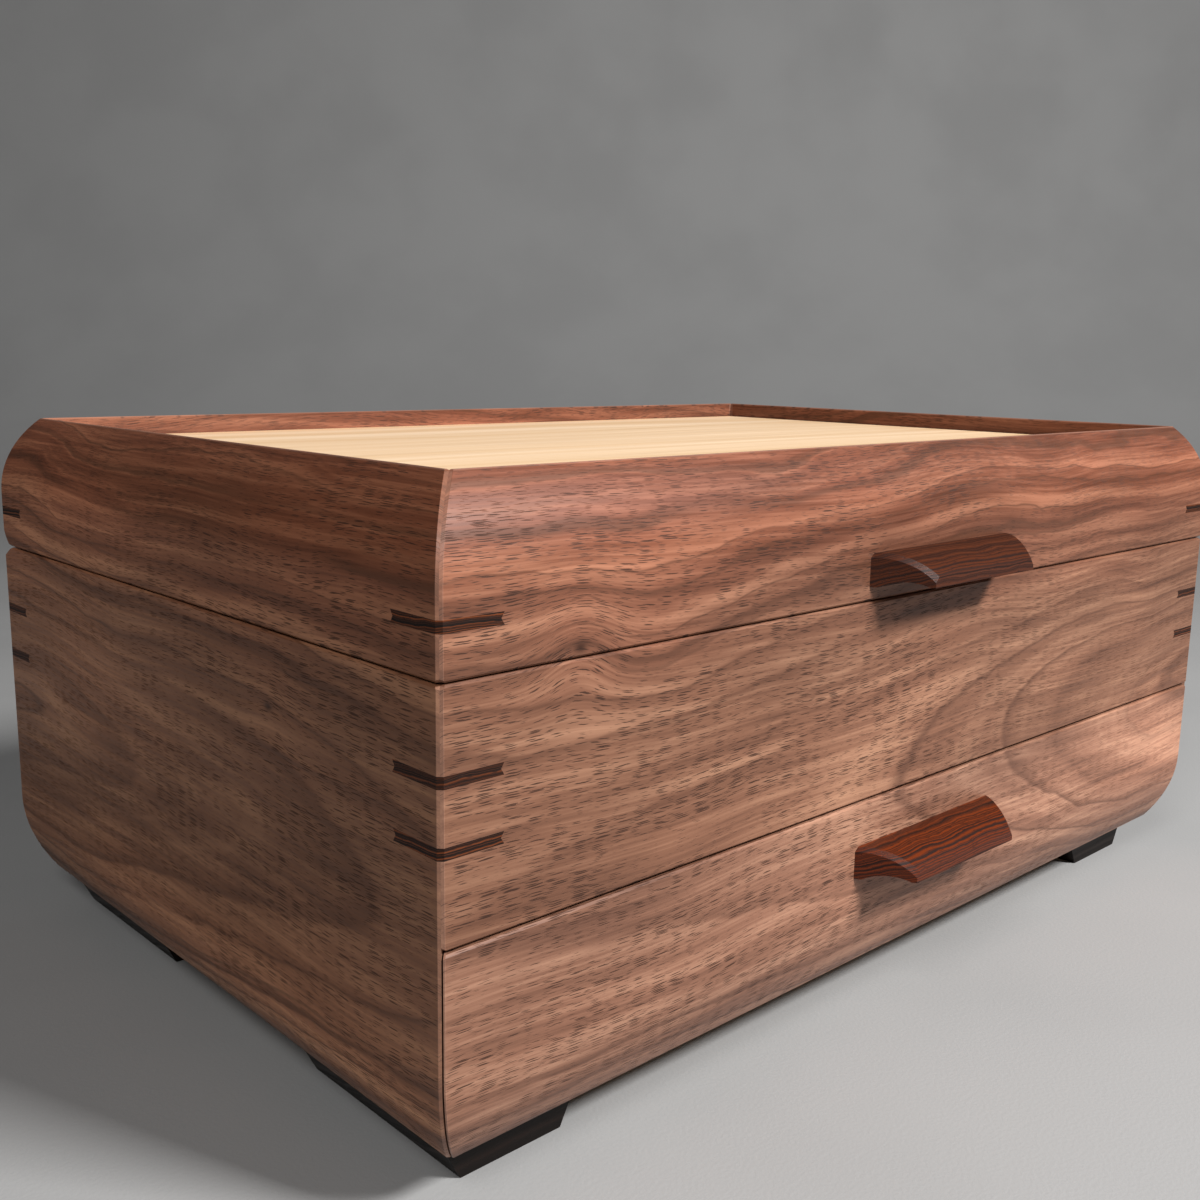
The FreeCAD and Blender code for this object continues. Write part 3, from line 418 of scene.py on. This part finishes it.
def walnut(name, board, look, figure):
    made, tree = new_material(name)
    coordinates = millimetres(tree)

    def axis(which, direction, start):
        return calc(tree, "MULTIPLY", calc(tree, "SUBTRACT", coordinates[which], start), direction)

    along, across, depth = axis(*board["along"]), axis(2, 1, SPLIT), axis(*board["depth"])
    pith_height, pith_depth, pith_end, pith_reach = board["pith"]
    knot_along, knot_across, knot_lift = board["knot"]
    seen = add(tree, "ShaderNodeGroup", {
        "Along": along, "Across": across, "Depth": depth,
        "Pith height": pith_height, "Pith depth": pith_depth, "Pith end": pith_end,
        "Pith reach": pith_reach,
        "Ring spacing": look.ring_spacing, "Knot along": knot_along, "Knot across": knot_across,
        "Knot lift": knot_lift, "Wander": board["wander"], "Seed": board["seed"],
        "Pore length": look.pore_length, "Pore width": look.pore_width}, node_tree=figure).outputs
    # A board's tint is its own tone; on the left boards it is also painted shade
    light, middle, dark = [[a * b for a, b in zip(shade, board["tint"])]
                           for shade in (look.light, look.middle, look.dark)]
    shade = ramp(tree, seen["Tone"], zip(TONE_STOPS, (dark, middle, light)))
    heart = calc(tree, "MULTIPLY_ADD", seen["Patch"], HEART_WANDER, across)
    heart = spread(tree, heart, HEART_START, HEART_END)
    shade = blend(tree, heart, shade, blend(tree, 1.0, shade, look.rose, "MULTIPLY"))
    cloud = spread(tree, seen["Patch"], 0.34, 0.66, 0.88, 1.12)
    for patch_along, patch_across, long, wide, change in board["patches"]:
        beside = calc(tree, "DIVIDE", calc(tree, "SUBTRACT", along, patch_along), long)
        above = calc(tree, "DIVIDE", calc(tree, "SUBTRACT", across, patch_across), wide)
        reach = calc(tree, "MULTIPLY_ADD", beside, beside, calc(tree, "MULTIPLY", above, above))
        near = fade_out(tree, reach)
        cloud = calc(tree, "MULTIPLY", cloud, calc(tree, "MULTIPLY_ADD", near, change, 1.0))
    shade = add(tree, "ShaderNodeVectorMath", {0: shade, "Scale": cloud}, operation="SCALE").outputs[0]
    shade = blend(tree, calc(tree, "MULTIPLY", seen["Rings"], RING_STRENGTH), shade, dark)
    shade = blend(tree, calc(tree, "MULTIPLY", seen["Knot"], KNOT_STRENGTH), shade, look.pore)
    shown = calc(tree, "MULTIPLY", seen["Pores"], spread(tree, along, *board["open_pores"]))
    shade = blend(tree, shown, shade, look.pore)
    # Bevelled corners are lightened: partly sanded wood, partly painted highlight
    corner = rubbed_and_highlit_corner(tree, along, across, depth, board["length"])
    shade = blend(tree, calc(tree, "MULTIPLY", corner, CORNER_WEAR_AND_HIGHLIGHT), shade, look.rubbed_edge_and_sheen)
    # Painted sheen along the lid's rim tops, lightened with the rubbed colour
    rim_top_sheen = calc(tree, "MULTIPLY", spread(tree, across, RIM_LEVEL - RIM_EDGE, RIM_LEVEL), RIM_SHEEN)
    shade = blend(tree, rim_top_sheen, shade, look.rubbed_edge_and_sheen)
    rough = calc(tree, "MULTIPLY_ADD", seen["Pores"], 0.25,
                 spread(tree, seen["Fibre"], 0.3, 0.7, look.roughness - 0.05, look.roughness + 0.07))
    height = calc(tree, "SUBTRACT", seen["Fibre"], seen["Pores"])
    finish_surface(tree, shade, rough, height, WALNUT_RELIEF, Specular_IOR_Level=0.25)
    return made


# Plain wood: length, width and depth of the rings' bends in millimetres, and how far they reach
PLAIN_BENDS, PLAIN_BEND_REACH = (240.0, 40.0, 60.0), 30.0
PLAIN_RING_SHARE, PLAIN_FIBRE_SHARE, PLAIN_DARK_REACH, PLAIN_LIGHT_REACH = 0.65, 0.35, 0.17, 0.13


def scaled(tree, place, lengths):
    """A place divided by the lengths of a pattern along its three axes."""
    return vector(tree, *(calc(tree, "DIVIDE", value, length) for value, length in zip(place, lengths)))


def plain_wood(name, light, dark, roughness, along=0, ring=9.0, fibre=(70.0, 1.1), contrast=1.0):
    """Straight-grained wood whose rings run along one axis: panel, inner parts, plywood."""
    made, tree = new_material(name)
    x, y, z = millimetres(tree)
    length, side = (x, y) if along == 0 else (y, x)
    bends = noise(tree, scaled(tree, (length, side, z), PLAIN_BENDS), detail=1.0)
    bent = calc(tree, "MULTIPLY", calc(tree, "SUBTRACT", bends, 0.5), PLAIN_BEND_REACH)
    level = calc(tree, "ADD", calc(tree, "ADD", side, calc(tree, "MULTIPLY", z, 0.8)), bent)
    rings = noise_line(tree, calc(tree, "DIVIDE", level, ring), 3.0, 0.55)
    strands = noise(tree, scaled(tree, (length, level, z), (*fibre, fibre[1])), detail=3.0, roughness=0.6)
    tone = calc(tree, "ADD", calc(tree, "MULTIPLY", rings, PLAIN_RING_SHARE),
                calc(tree, "MULTIPLY", strands, PLAIN_FIBRE_SHARE))
    middle = tuple((a + b) / 2 for a, b in zip(light, dark))
    shade = ramp(tree, tone, [(0.5 - PLAIN_DARK_REACH / contrast, dark), (0.5, middle),
                              (0.5 + PLAIN_LIGHT_REACH / contrast, light)])
    rough = spread(tree, strands, 0.3, 0.7, roughness - 0.05, roughness + 0.08)
    finish_surface(tree, shade, rough, strands, 0.03, Specular_IOR_Level=0.5)
    return made


# Banded wood: width and depth of the bands' bends, size of a pore, and the ramp's steps
BEND_WIDTH, BEND_DEPTH, BANDED_PORE, BAND_STEP = 9.0, 7.0, (3.0, 0.6, 0.3), 0.12
BANDED_PORE_LEVEL, BANDED_PORE_SHARPNESS, BANDED_PORE_SHARE = 0.6, 12.0, 0.6


def banded_wood(name, light, dark, roughness, band, length_stretch, swirl, slope=0.32,
                darkest=0.42):
    """Dark wood in fine bands along the piece, for splines, pulls and feet."""
    made, tree = new_material(name)
    x, y, z = millimetres(tree)
    place = scaled(tree, (x, y, z), (length_stretch, BEND_WIDTH, BEND_DEPTH))
    bend = calc(tree, "MULTIPLY", calc(tree, "SUBTRACT", noise(tree, place, detail=3.0), 0.5), swirl)
    level = calc(tree, "ADD", calc(tree, "MULTIPLY_ADD", y, slope, z), bend)
    bands = noise_line(tree, calc(tree, "DIVIDE", level, band), 2.0, 0.6)
    pores = noise(tree, scaled(tree, (x, y, z), BANDED_PORE), detail=1.0)
    pores = calc(tree, "MULTIPLY", calc(tree, "SUBTRACT", pores, BANDED_PORE_LEVEL),
                 BANDED_PORE_SHARPNESS, clamp=True)
    middle = tuple(0.25 * a + 0.75 * b for a, b in zip(light, dark))
    shade = ramp(tree, bands, [(darkest, dark), (darkest + BAND_STEP, middle),
                               (darkest + 2 * BAND_STEP, light)])
    shade = blend(tree, calc(tree, "MULTIPLY", pores, BANDED_PORE_SHARE), shade, dark)
    rough = spread(tree, bands, 0.35, 0.65, roughness + 0.08, roughness - 0.04)
    height = calc(tree, "SUBTRACT", calc(tree, "MULTIPLY", bands, 0.3), pores)
    finish_surface(tree, shade, rough, height, 0.02, Specular_IOR_Level=0.2)
    return made


BRUSH_MARK = (6.0, 0.12, 0.12)
WORN_BRASS, FELT_ROOTS, FLOOR_MOTTLE = 0.62, 0.45, 0.93


def brushed_brass(look):
    made, tree = new_material("brushed brass")
    x, y, z = millimetres(tree)
    lines = noise(tree, scaled(tree, (x, y, z), BRUSH_MARK), detail=2.0)
    stain = noise(tree, vector(tree, x, y, z), scale=0.09, detail=3.0)
    worn = tuple(WORN_BRASS * part for part in look.brass)
    shade = blend(tree, spread(tree, stain, 0.45, 0.72), tuple(look.brass), worn)
    rough = calc(tree, "ADD", spread(tree, stain, 0.3, 0.7, 0.2, 0.34), calc(tree, "MULTIPLY", lines, 0.12))
    finish_surface(tree, shade, rough, lines, 0.006, Metallic=1.0)
    return made


def wool_felt(look):
    made, tree = new_material("wool felt")
    x, y, z = millimetres(tree)
    place = vector(tree, x, y, z)
    hairs = noise(tree, place, scale=2.6, detail=4.0, roughness=0.7, distortion=1.6)
    lay = noise(tree, place, scale=0.035, detail=2.0)
    dark = tuple(FELT_ROOTS * part for part in look.lining)
    shade = blend(tree, spread(tree, hairs, 0.36, 0.66), dark, tuple(look.lining))
    shade = blend(tree, spread(tree, lay, 0.4, 0.7, 0.0, 0.35), shade, dark)
    finish_surface(tree, shade, spread(tree, hairs, 0.3, 0.7, 0.86, 0.98), hairs, 0.25,
                   Sheen_Weight=0.5, Sheen_Roughness=0.45, Specular_IOR_Level=0.2)
    return made


def coat(names, material):
    """Give CAD nodes a finish in place of the plain one they came with."""
    for name in names:
        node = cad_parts[name]
        node.data.materials.clear()
        node.data.materials.append(material)


def named(*starts):
    return [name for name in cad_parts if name.startswith(starts)]


# Operators, one for each group of pieces


class CHEST_OT_walnut_boards(bpy.types.Operator):
    """Finish the mitred boards of case, lid and drawer front in figured walnut"""

    bl_idname = "chest.walnut_boards"
    bl_label = "Walnut boards"

    def execute(self, context):
        look = context.scene.chest_walnut
        figure = walnut_figure()
        for name, board in BOARDS.items():
            coat(board["nodes"], walnut(name, board, look, figure))
        return {"FINISHED"}


class CHEST_OT_lid_panel(bpy.types.Operator):
    """Finish the pale floating panel of the lid"""

    bl_idname = "chest.lid_panel"
    bl_label = "Lid panel"

    def execute(self, context):
        look = context.scene.chest_accents
        coat(["lid_panel"], plain_wood("pale panel", tuple(look.panel), tuple(look.panel_streak), 0.36,
                                       ring=17.0, fibre=(120.0, 1.6), contrast=0.8))
        return {"FINISHED"}


# The drawer's pull is a warmer piece of the same wood
PULL_TINTS = {"lid_pull": (1.0, 1.0, 1.0), "drawer_pull": (1.75, 1.2, 0.55)}


class CHEST_OT_dark_woods(bpy.types.Operator):
    """Finish the corner splines, the pulls and the feet"""

    bl_idname = "chest.dark_woods"
    bl_label = "Splines, pulls and feet"

    def execute(self, context):
        look = context.scene.chest_accents
        splines = banded_wood("striped spline", tuple(look.spline_light), tuple(look.spline_dark),
                              0.5, band=0.55, length_stretch=10.0, swirl=1.6, slope=0.05)
        coat(["lid_splines", "upper_case_splines", "lower_case_splines"], splines)
        for name, tint in PULL_TINTS.items():
            light = [a * b for a, b in zip(look.pull_light, tint)]
            pull = banded_wood(f"striped {name.replace('_', ' ')}", light, tuple(look.pull_dark),
                               0.4, band=0.8, length_stretch=22.0, swirl=3.0, darkest=0.34)
            coat([name], pull)
        # The feet get near-black colours as painted shade under the case
        feet = banded_wood("dark foot", tuple(look.shaded_foot_light), tuple(look.shaded_foot_dark), 0.5,
                           band=3.0, length_stretch=40.0, swirl=4.0)
        coat(named("foot_"), feet)
        return {"FINISHED"}


class CHEST_OT_inner_woods(bpy.types.Operator):
    """Finish the drawer box, the dividers, the floors, the runners and the stop"""

    bl_idname = "chest.inner_woods"
    bl_label = "Inner woods"

    def execute(self, context):
        look = context.scene.chest_accents
        pale, streak = tuple(look.inner), tuple(look.inner_streak)
        coat(["drawer_back", "long_divider", "drawer_stop"],
             plain_wood("pale inner wood across", pale, streak, 0.45, ring=6.0))
        coat(["drawer_left_side", "drawer_right_side", *named("cross_divider"), "drawer_left_runner",
              "drawer_right_runner"],
             plain_wood("pale inner wood", pale, streak, 0.45, along=1, ring=6.0))
        coat(["compartment_floor", "bottom_panel", "drawer_bottom"],
             plain_wood("sealed plywood", tuple(look.plywood), tuple(look.plywood_streak), 0.5,
                        ring=15.0))
        return {"FINISHED"}


class CHEST_OT_hinges(bpy.types.Operator):
    """Finish the hinges in brass and set slotted screws in their leaves"""

    bl_idname = "chest.hinges"
    bl_label = "Hinges and screws"

    def execute(self, context):
        look = context.scene.chest_accents
        brass = brushed_brass(look)
        coat([*named("hinge_"), "stop_screw"], brass)
        for body, node, side in (("case", "case_hinge_screws", 1), ("lid", "lid_hinge_screws", -1)):
            screws = slotted_screws(f"{body}_slotted_screws", node, side, brass,
                                    context.scene.chest_screws)
            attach(screws, body)
            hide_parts(node)
        return {"FINISHED"}


def screw_tree(material):
    """Geometry nodes: a countersunk slotted screw at every point, each slot turned its own way."""
    tree = bpy.data.node_groups.new("slotted screws", "GeometryNodeTree")
    face = tree.interface
    face.new_socket("Geometry", in_out="INPUT", socket_type="NodeSocketGeometry")
    for name in ("Head radius", "Head depth", "Shank radius", "Length", "Slot width", "Slot depth"):
        face.new_socket(name, in_out="INPUT", socket_type="NodeSocketFloat")
    face.new_socket("Tip over", in_out="INPUT", socket_type="NodeSocketVector")
    face.new_socket("Seed", in_out="INPUT", socket_type="NodeSocketInt")
    face.new_socket("Geometry", in_out="OUTPUT", socket_type="NodeSocketGeometry")
    given = tree.nodes.new("NodeGroupInput").outputs
    minus_head = calc(tree, "MULTIPLY", given["Head depth"], -1.0)
    head = add(tree, "GeometryNodeMeshCone",
               {"Vertices": 40, "Radius Top": given["Head radius"], "Radius Bottom": given["Shank radius"],
                "Depth": given["Head depth"]})
    head = add(tree, "GeometryNodeTransform",
               {"Geometry": head.outputs["Mesh"], "Translation": vector(tree, z=minus_head)})
    shank_length = calc(tree, "SUBTRACT", given["Length"], given["Head depth"])
    shank = add(tree, "GeometryNodeMeshCylinder",
                {"Vertices": 16, "Radius": calc(tree, "MULTIPLY", given["Shank radius"], 0.72),
                 "Depth": shank_length})
    middle = calc(tree, "MULTIPLY", calc(tree, "ADD", given["Length"], given["Head depth"]), -0.5)
    shank = add(tree, "GeometryNodeTransform",
                {"Geometry": shank.outputs["Mesh"], "Translation": vector(tree, z=middle)})
    wide = calc(tree, "MULTIPLY", given["Head radius"], 3.0)
    twice = calc(tree, "MULTIPLY", given["Slot depth"], 2.0)
    blade = add(tree, "GeometryNodeMeshCube", {"Size": vector(tree, wide, given["Slot width"], twice)})
    slotted = add(tree, "GeometryNodeMeshBoolean", {"Mesh 1": head.outputs[0]}, operation="DIFFERENCE")
    tree.links.new(blade.outputs["Mesh"], slotted.inputs["Mesh 2"])
    whole = add(tree, "GeometryNodeJoinGeometry")
    tree.links.new(slotted.outputs["Mesh"], whole.inputs[0])
    tree.links.new(shank.outputs[0], whole.inputs[0])
    turned = add(tree, "FunctionNodeRandomValue", {"Seed": given["Seed"]}, data_type="FLOAT")
    turned.inputs[2].default_value, turned.inputs[3].default_value = 0.0, math.pi
    spin = vector(tree, z=turned.outputs[1])
    tipped = add(tree, "ShaderNodeVectorMath", {0: spin, 1: given["Tip over"]}, operation="ADD")
    points = add(tree, "GeometryNodeMeshToPoints", {"Mesh": given["Geometry"]})
    placed = add(tree, "GeometryNodeInstanceOnPoints",
                 {"Points": points.outputs[0], "Instance": whole.outputs[0],
                  "Rotation": tipped.outputs[0]})
    solid = add(tree, "GeometryNodeRealizeInstances", {"Geometry": placed.outputs[0]})
    coated = add(tree, "GeometryNodeSetMaterial", {"Geometry": solid.outputs[0], "Material": material})
    tree.links.new(coated.outputs[0], tree.nodes.new("NodeGroupOutput").inputs[0])
    return tree


def slotted_screws(name, node, side, material, look):
    """Screws where the CAD node has them: side is 1 for heads that face up, -1 for heads down."""
    low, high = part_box(node)
    head_radius = (high.y - low.y) / 2
    row, level = (low.y + high.y) / 2, high.z if side > 0 else low.z
    places = []
    for hinge in ("left", "right"):
        start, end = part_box(f"hinge_{hinge}_case_leaf")
        inset = (low.x + head_radius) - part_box("hinge_left_case_leaf")[0].x
        places += [(start.x + inset, row, level), (end.x - inset, row, level)]
    mesh = bpy.data.meshes.new(f"{name}_points")
    mesh.from_pydata(places, [], [])
    points = bpy.data.objects.new(f"{name}_points", mesh)
    bpy.context.scene.collection.objects.link(points)
    modifier = points.modifiers.new("screws", "NODES")
    tree = screw_tree(material)
    modifier.node_group = tree
    values = {"Head radius": head_radius, "Head depth": head_radius / 2,
              "Shank radius": head_radius / 2, "Length": high.z - low.z,
              "Slot width": look.slot_width, "Slot depth": look.slot_depth,
              "Tip over": (0.0 if side > 0 else math.pi, 0.0, 0.0), "Seed": look.seed}
    for item in tree.interface.items_tree:
        if item.in_out == "INPUT" and item.name in values:
            modifier[item.identifier] = values[item.name]
    evaluated = points.evaluated_get(bpy.context.evaluated_depsgraph_get())
    solid = bpy.data.meshes.new_from_object(evaluated)
    bpy.data.objects.remove(points)
    screws = bpy.data.objects.new(name, solid)
    bpy.context.scene.collection.objects.link(screws)
    return screws


class CHEST_OT_felt_linings(bpy.types.Operator):
    """Lay the felt linings in the compartment and in the drawer"""

    bl_idname = "chest.felt_linings"
    bl_label = "Felt linings"

    def execute(self, context):
        felt = wool_felt(context.scene.chest_accents)
        for name, node, body, floor in (
                ("compartment_lining", "compartment_felt", "case", "compartment_floor"),
                ("drawer_lining", "drawer_felt", "drawer", "drawer_bottom")):
            lining = felt_sheet(name, *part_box(node), felt)
            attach(lining, body)
            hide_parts(node)
        return {"FINISHED"}


def felt_sheet(name, low, high, material):
    """Sheet of felt with soft cut edges and a slightly uneven top."""
    edge, unevenness, clearance = 0.5 * MM, 0.06 * MM, 0.1 * MM
    columns, rows = 120, 80
    top, bottom = high.z, low.z

    def lift(x, y):
        inside = min(x - low.x, high.x - x, y - low.y, high.y - y)
        rounded = edge * (1 - min(1.0, inside / (2 * edge))) ** 2
        sway = math.sin(x * 97.0 + 1.3) * math.sin(y * 83.0 + 0.4) * unevenness
        return top - rounded - clearance + sway

    def spaced(start, end, count):
        steps = [start, start + edge, start + 2 * edge]
        inner = [start + 2 * edge + (end - start - 4 * edge) * i / count for i in range(1, count)]
        return steps + inner + [end - 2 * edge, end - edge, end]

    xs, ys = spaced(low.x, high.x, columns), spaced(low.y, high.y, rows)
    points = [(x, y, lift(x, y)) for y in ys for x in xs]
    wide = len(xs)
    faces = [(j * wide + i, j * wide + i + 1, (j + 1) * wide + i + 1, (j + 1) * wide + i)
             for j in range(len(ys) - 1) for i in range(wide - 1)]
    rim = list(range(wide)) + [j * wide + wide - 1 for j in range(1, len(ys))]
    rim += [(len(ys) - 1) * wide + i for i in range(wide - 2, -1, -1)]
    rim += [j * wide for j in range(len(ys) - 2, 0, -1)]
    first = len(points)
    points += [(*points[i][:2], bottom) for i in rim]
    count = len(rim)
    faces += [(rim[(k + 1) % count], rim[k], first + k, first + (k + 1) % count) for k in range(count)]
    faces.append(tuple(first + k for k in reversed(range(count))))
    mesh = bpy.data.meshes.new(name)
    mesh.from_pydata(points, [], faces)
    mesh.materials.append(material)
    mesh.shade_smooth()
    sheet = bpy.data.objects.new(name, mesh)
    bpy.context.scene.collection.objects.link(sheet)
    return sheet


# Where each light stands, the point that it faces and its size, in metres
KEY_PLACE = {"place": (0.42, -1.28, 1.24), "aim": (0.0, -0.1, 0.10), "size": (0.40, 0.34)}
FILL_PLACE = {"place": (-0.96, -0.58, 1.02), "aim": (-0.2, -0.05, 0.12), "size": (0.45, 0.45)}
ROOM_TINT = (0.93, 0.96, 1.0)


class CHEST_OT_studio(bpy.types.Operator):
    """Set up the pale floor, the soft lights and the camera"""

    bl_idname = "chest.studio"
    bl_label = "Studio"

    def execute(self, context):
        look = context.scene.chest_studio
        pale_floor(look)
        soft_light("key", look.key, **KEY_PLACE)
        soft_light("fill", look.fill, **FILL_PLACE)
        world = bpy.data.worlds.new("soft room")
        world.use_nodes = True
        background = world.node_tree.nodes["Background"].inputs
        background["Color"].default_value = colour(ROOM_TINT)
        background["Strength"].default_value = look.sky
        context.scene.world = world
        lens = bpy.data.cameras.new("camera")
        lens.lens = look.lens
        lens.sensor_width = 36.0
        lens.clip_start = 0.01
        camera = bpy.data.objects.new("camera", lens)
        camera.location = look.eye
        camera.rotation_euler = Euler(look.turn, "XYZ")
        context.scene.collection.objects.link(camera)
        context.scene.camera = camera
        context.scene.view_settings.view_transform = "Standard"
        return {"FINISHED"}


def pale_floor(look):
    """Floor that bends up into a backdrop, turned to face the camera."""
    made, tree = new_material("pale floor")
    x, y, z = millimetres(tree)
    place = vector(tree, x, y, z)
    mottle = noise(tree, place, scale=0.006, detail=4.0)
    darker = tuple(FLOOR_MOTTLE * part for part in look.floor)
    shade = blend(tree, spread(tree, mottle, 0.35, 0.7), tuple(look.floor), darker)
    grit = noise(tree, place, scale=0.8, detail=3.0)
    finish_surface(tree, shade, spread(tree, mottle, 0.3, 0.7, 0.7, 0.8), grit, 0.1)
    half, near, far, height, bend = 6.0, -3.0, 1.7, 4.5, 0.6
    steps = 12
    profile = [(near, 0.0), (far - bend, 0.0)]
    profile += [(far - bend + bend * math.sin(a), bend - bend * math.cos(a))
                for a in (math.pi / 2 * i / steps for i in range(1, steps + 1))]
    profile.append((far, height))
    turn = look.turn[2]
    points = [(side * math.cos(turn) - away * math.sin(turn), side * math.sin(turn) + away * math.cos(turn),
               up) for away, up in profile for side in (-half, half)]
    faces = [(2 * i, 2 * i + 1, 2 * i + 3, 2 * i + 2) for i in range(len(profile) - 1)]
    mesh = bpy.data.meshes.new("floor")
    mesh.from_pydata(points, [], faces)
    mesh.materials.append(made)
    mesh.shade_smooth()
    floor = bpy.data.objects.new("floor", mesh)
    bpy.context.scene.collection.objects.link(floor)


def soft_light(name, power, place, aim, size):
    """Rectangular soft light that faces a point."""
    lamp = bpy.data.lights.new(name, "AREA")
    lamp.shape = "RECTANGLE"
    lamp.size, lamp.size_y = size
    lamp.energy = power
    item = bpy.data.objects.new(name, lamp)
    item.location = place
    item.rotation_euler = (Vector(aim) - Vector(place)).to_track_quat("-Z", "Y").to_euler()
    bpy.context.scene.collection.objects.link(item)


class CHEST_PT_sidebar(bpy.types.Panel):
    """Lists the chest's operators and looks in the sidebar"""

    bl_idname = "CHEST_PT_sidebar"
    bl_label = "Jewelry chest"
    bl_space_type = "VIEW_3D"
    bl_region_type = "UI"
    bl_category = "Chest"

    def draw(self, context):
        for operator in OPERATORS:
            self.layout.operator(operator.bl_idname)
        for name in GROUPS:
            box = self.layout.box()
            group = getattr(context.scene, name)
            for key in group.bl_rna.properties.keys():
                if key not in ("name", "rna_type"):
                    box.prop(group, key)


OPERATORS = (CHEST_OT_walnut_boards, CHEST_OT_lid_panel, CHEST_OT_dark_woods, CHEST_OT_inner_woods,
             CHEST_OT_hinges, CHEST_OT_felt_linings, CHEST_OT_studio)
GROUPS = {"chest_walnut": ChestWalnut, "chest_accents": ChestAccents, "chest_screws": ChestScrews,
          "chest_studio": ChestStudio}


def register():
    for group in GROUPS.values():
        bpy.utils.register_class(group)
    for operator in OPERATORS:
        bpy.utils.register_class(operator)
    bpy.utils.register_class(CHEST_PT_sidebar)
    for name, group in GROUPS.items():
        setattr(bpy.types.Scene, name, PointerProperty(type=group))


def unregister():
    for name in GROUPS:
        delattr(bpy.types.Scene, name)
    bpy.utils.unregister_class(CHEST_PT_sidebar)
    for made in (*OPERATORS, *GROUPS.values()):
        bpy.utils.unregister_class(made)


def main():
    register()
    bpy.ops.chest.walnut_boards()
    bpy.ops.chest.lid_panel()
    bpy.ops.chest.dark_woods()
    bpy.ops.chest.inner_woods()
    bpy.ops.chest.hinges()
    bpy.ops.chest.felt_linings()
    bpy.ops.chest.studio()


if __name__ == "__main__":
    main()
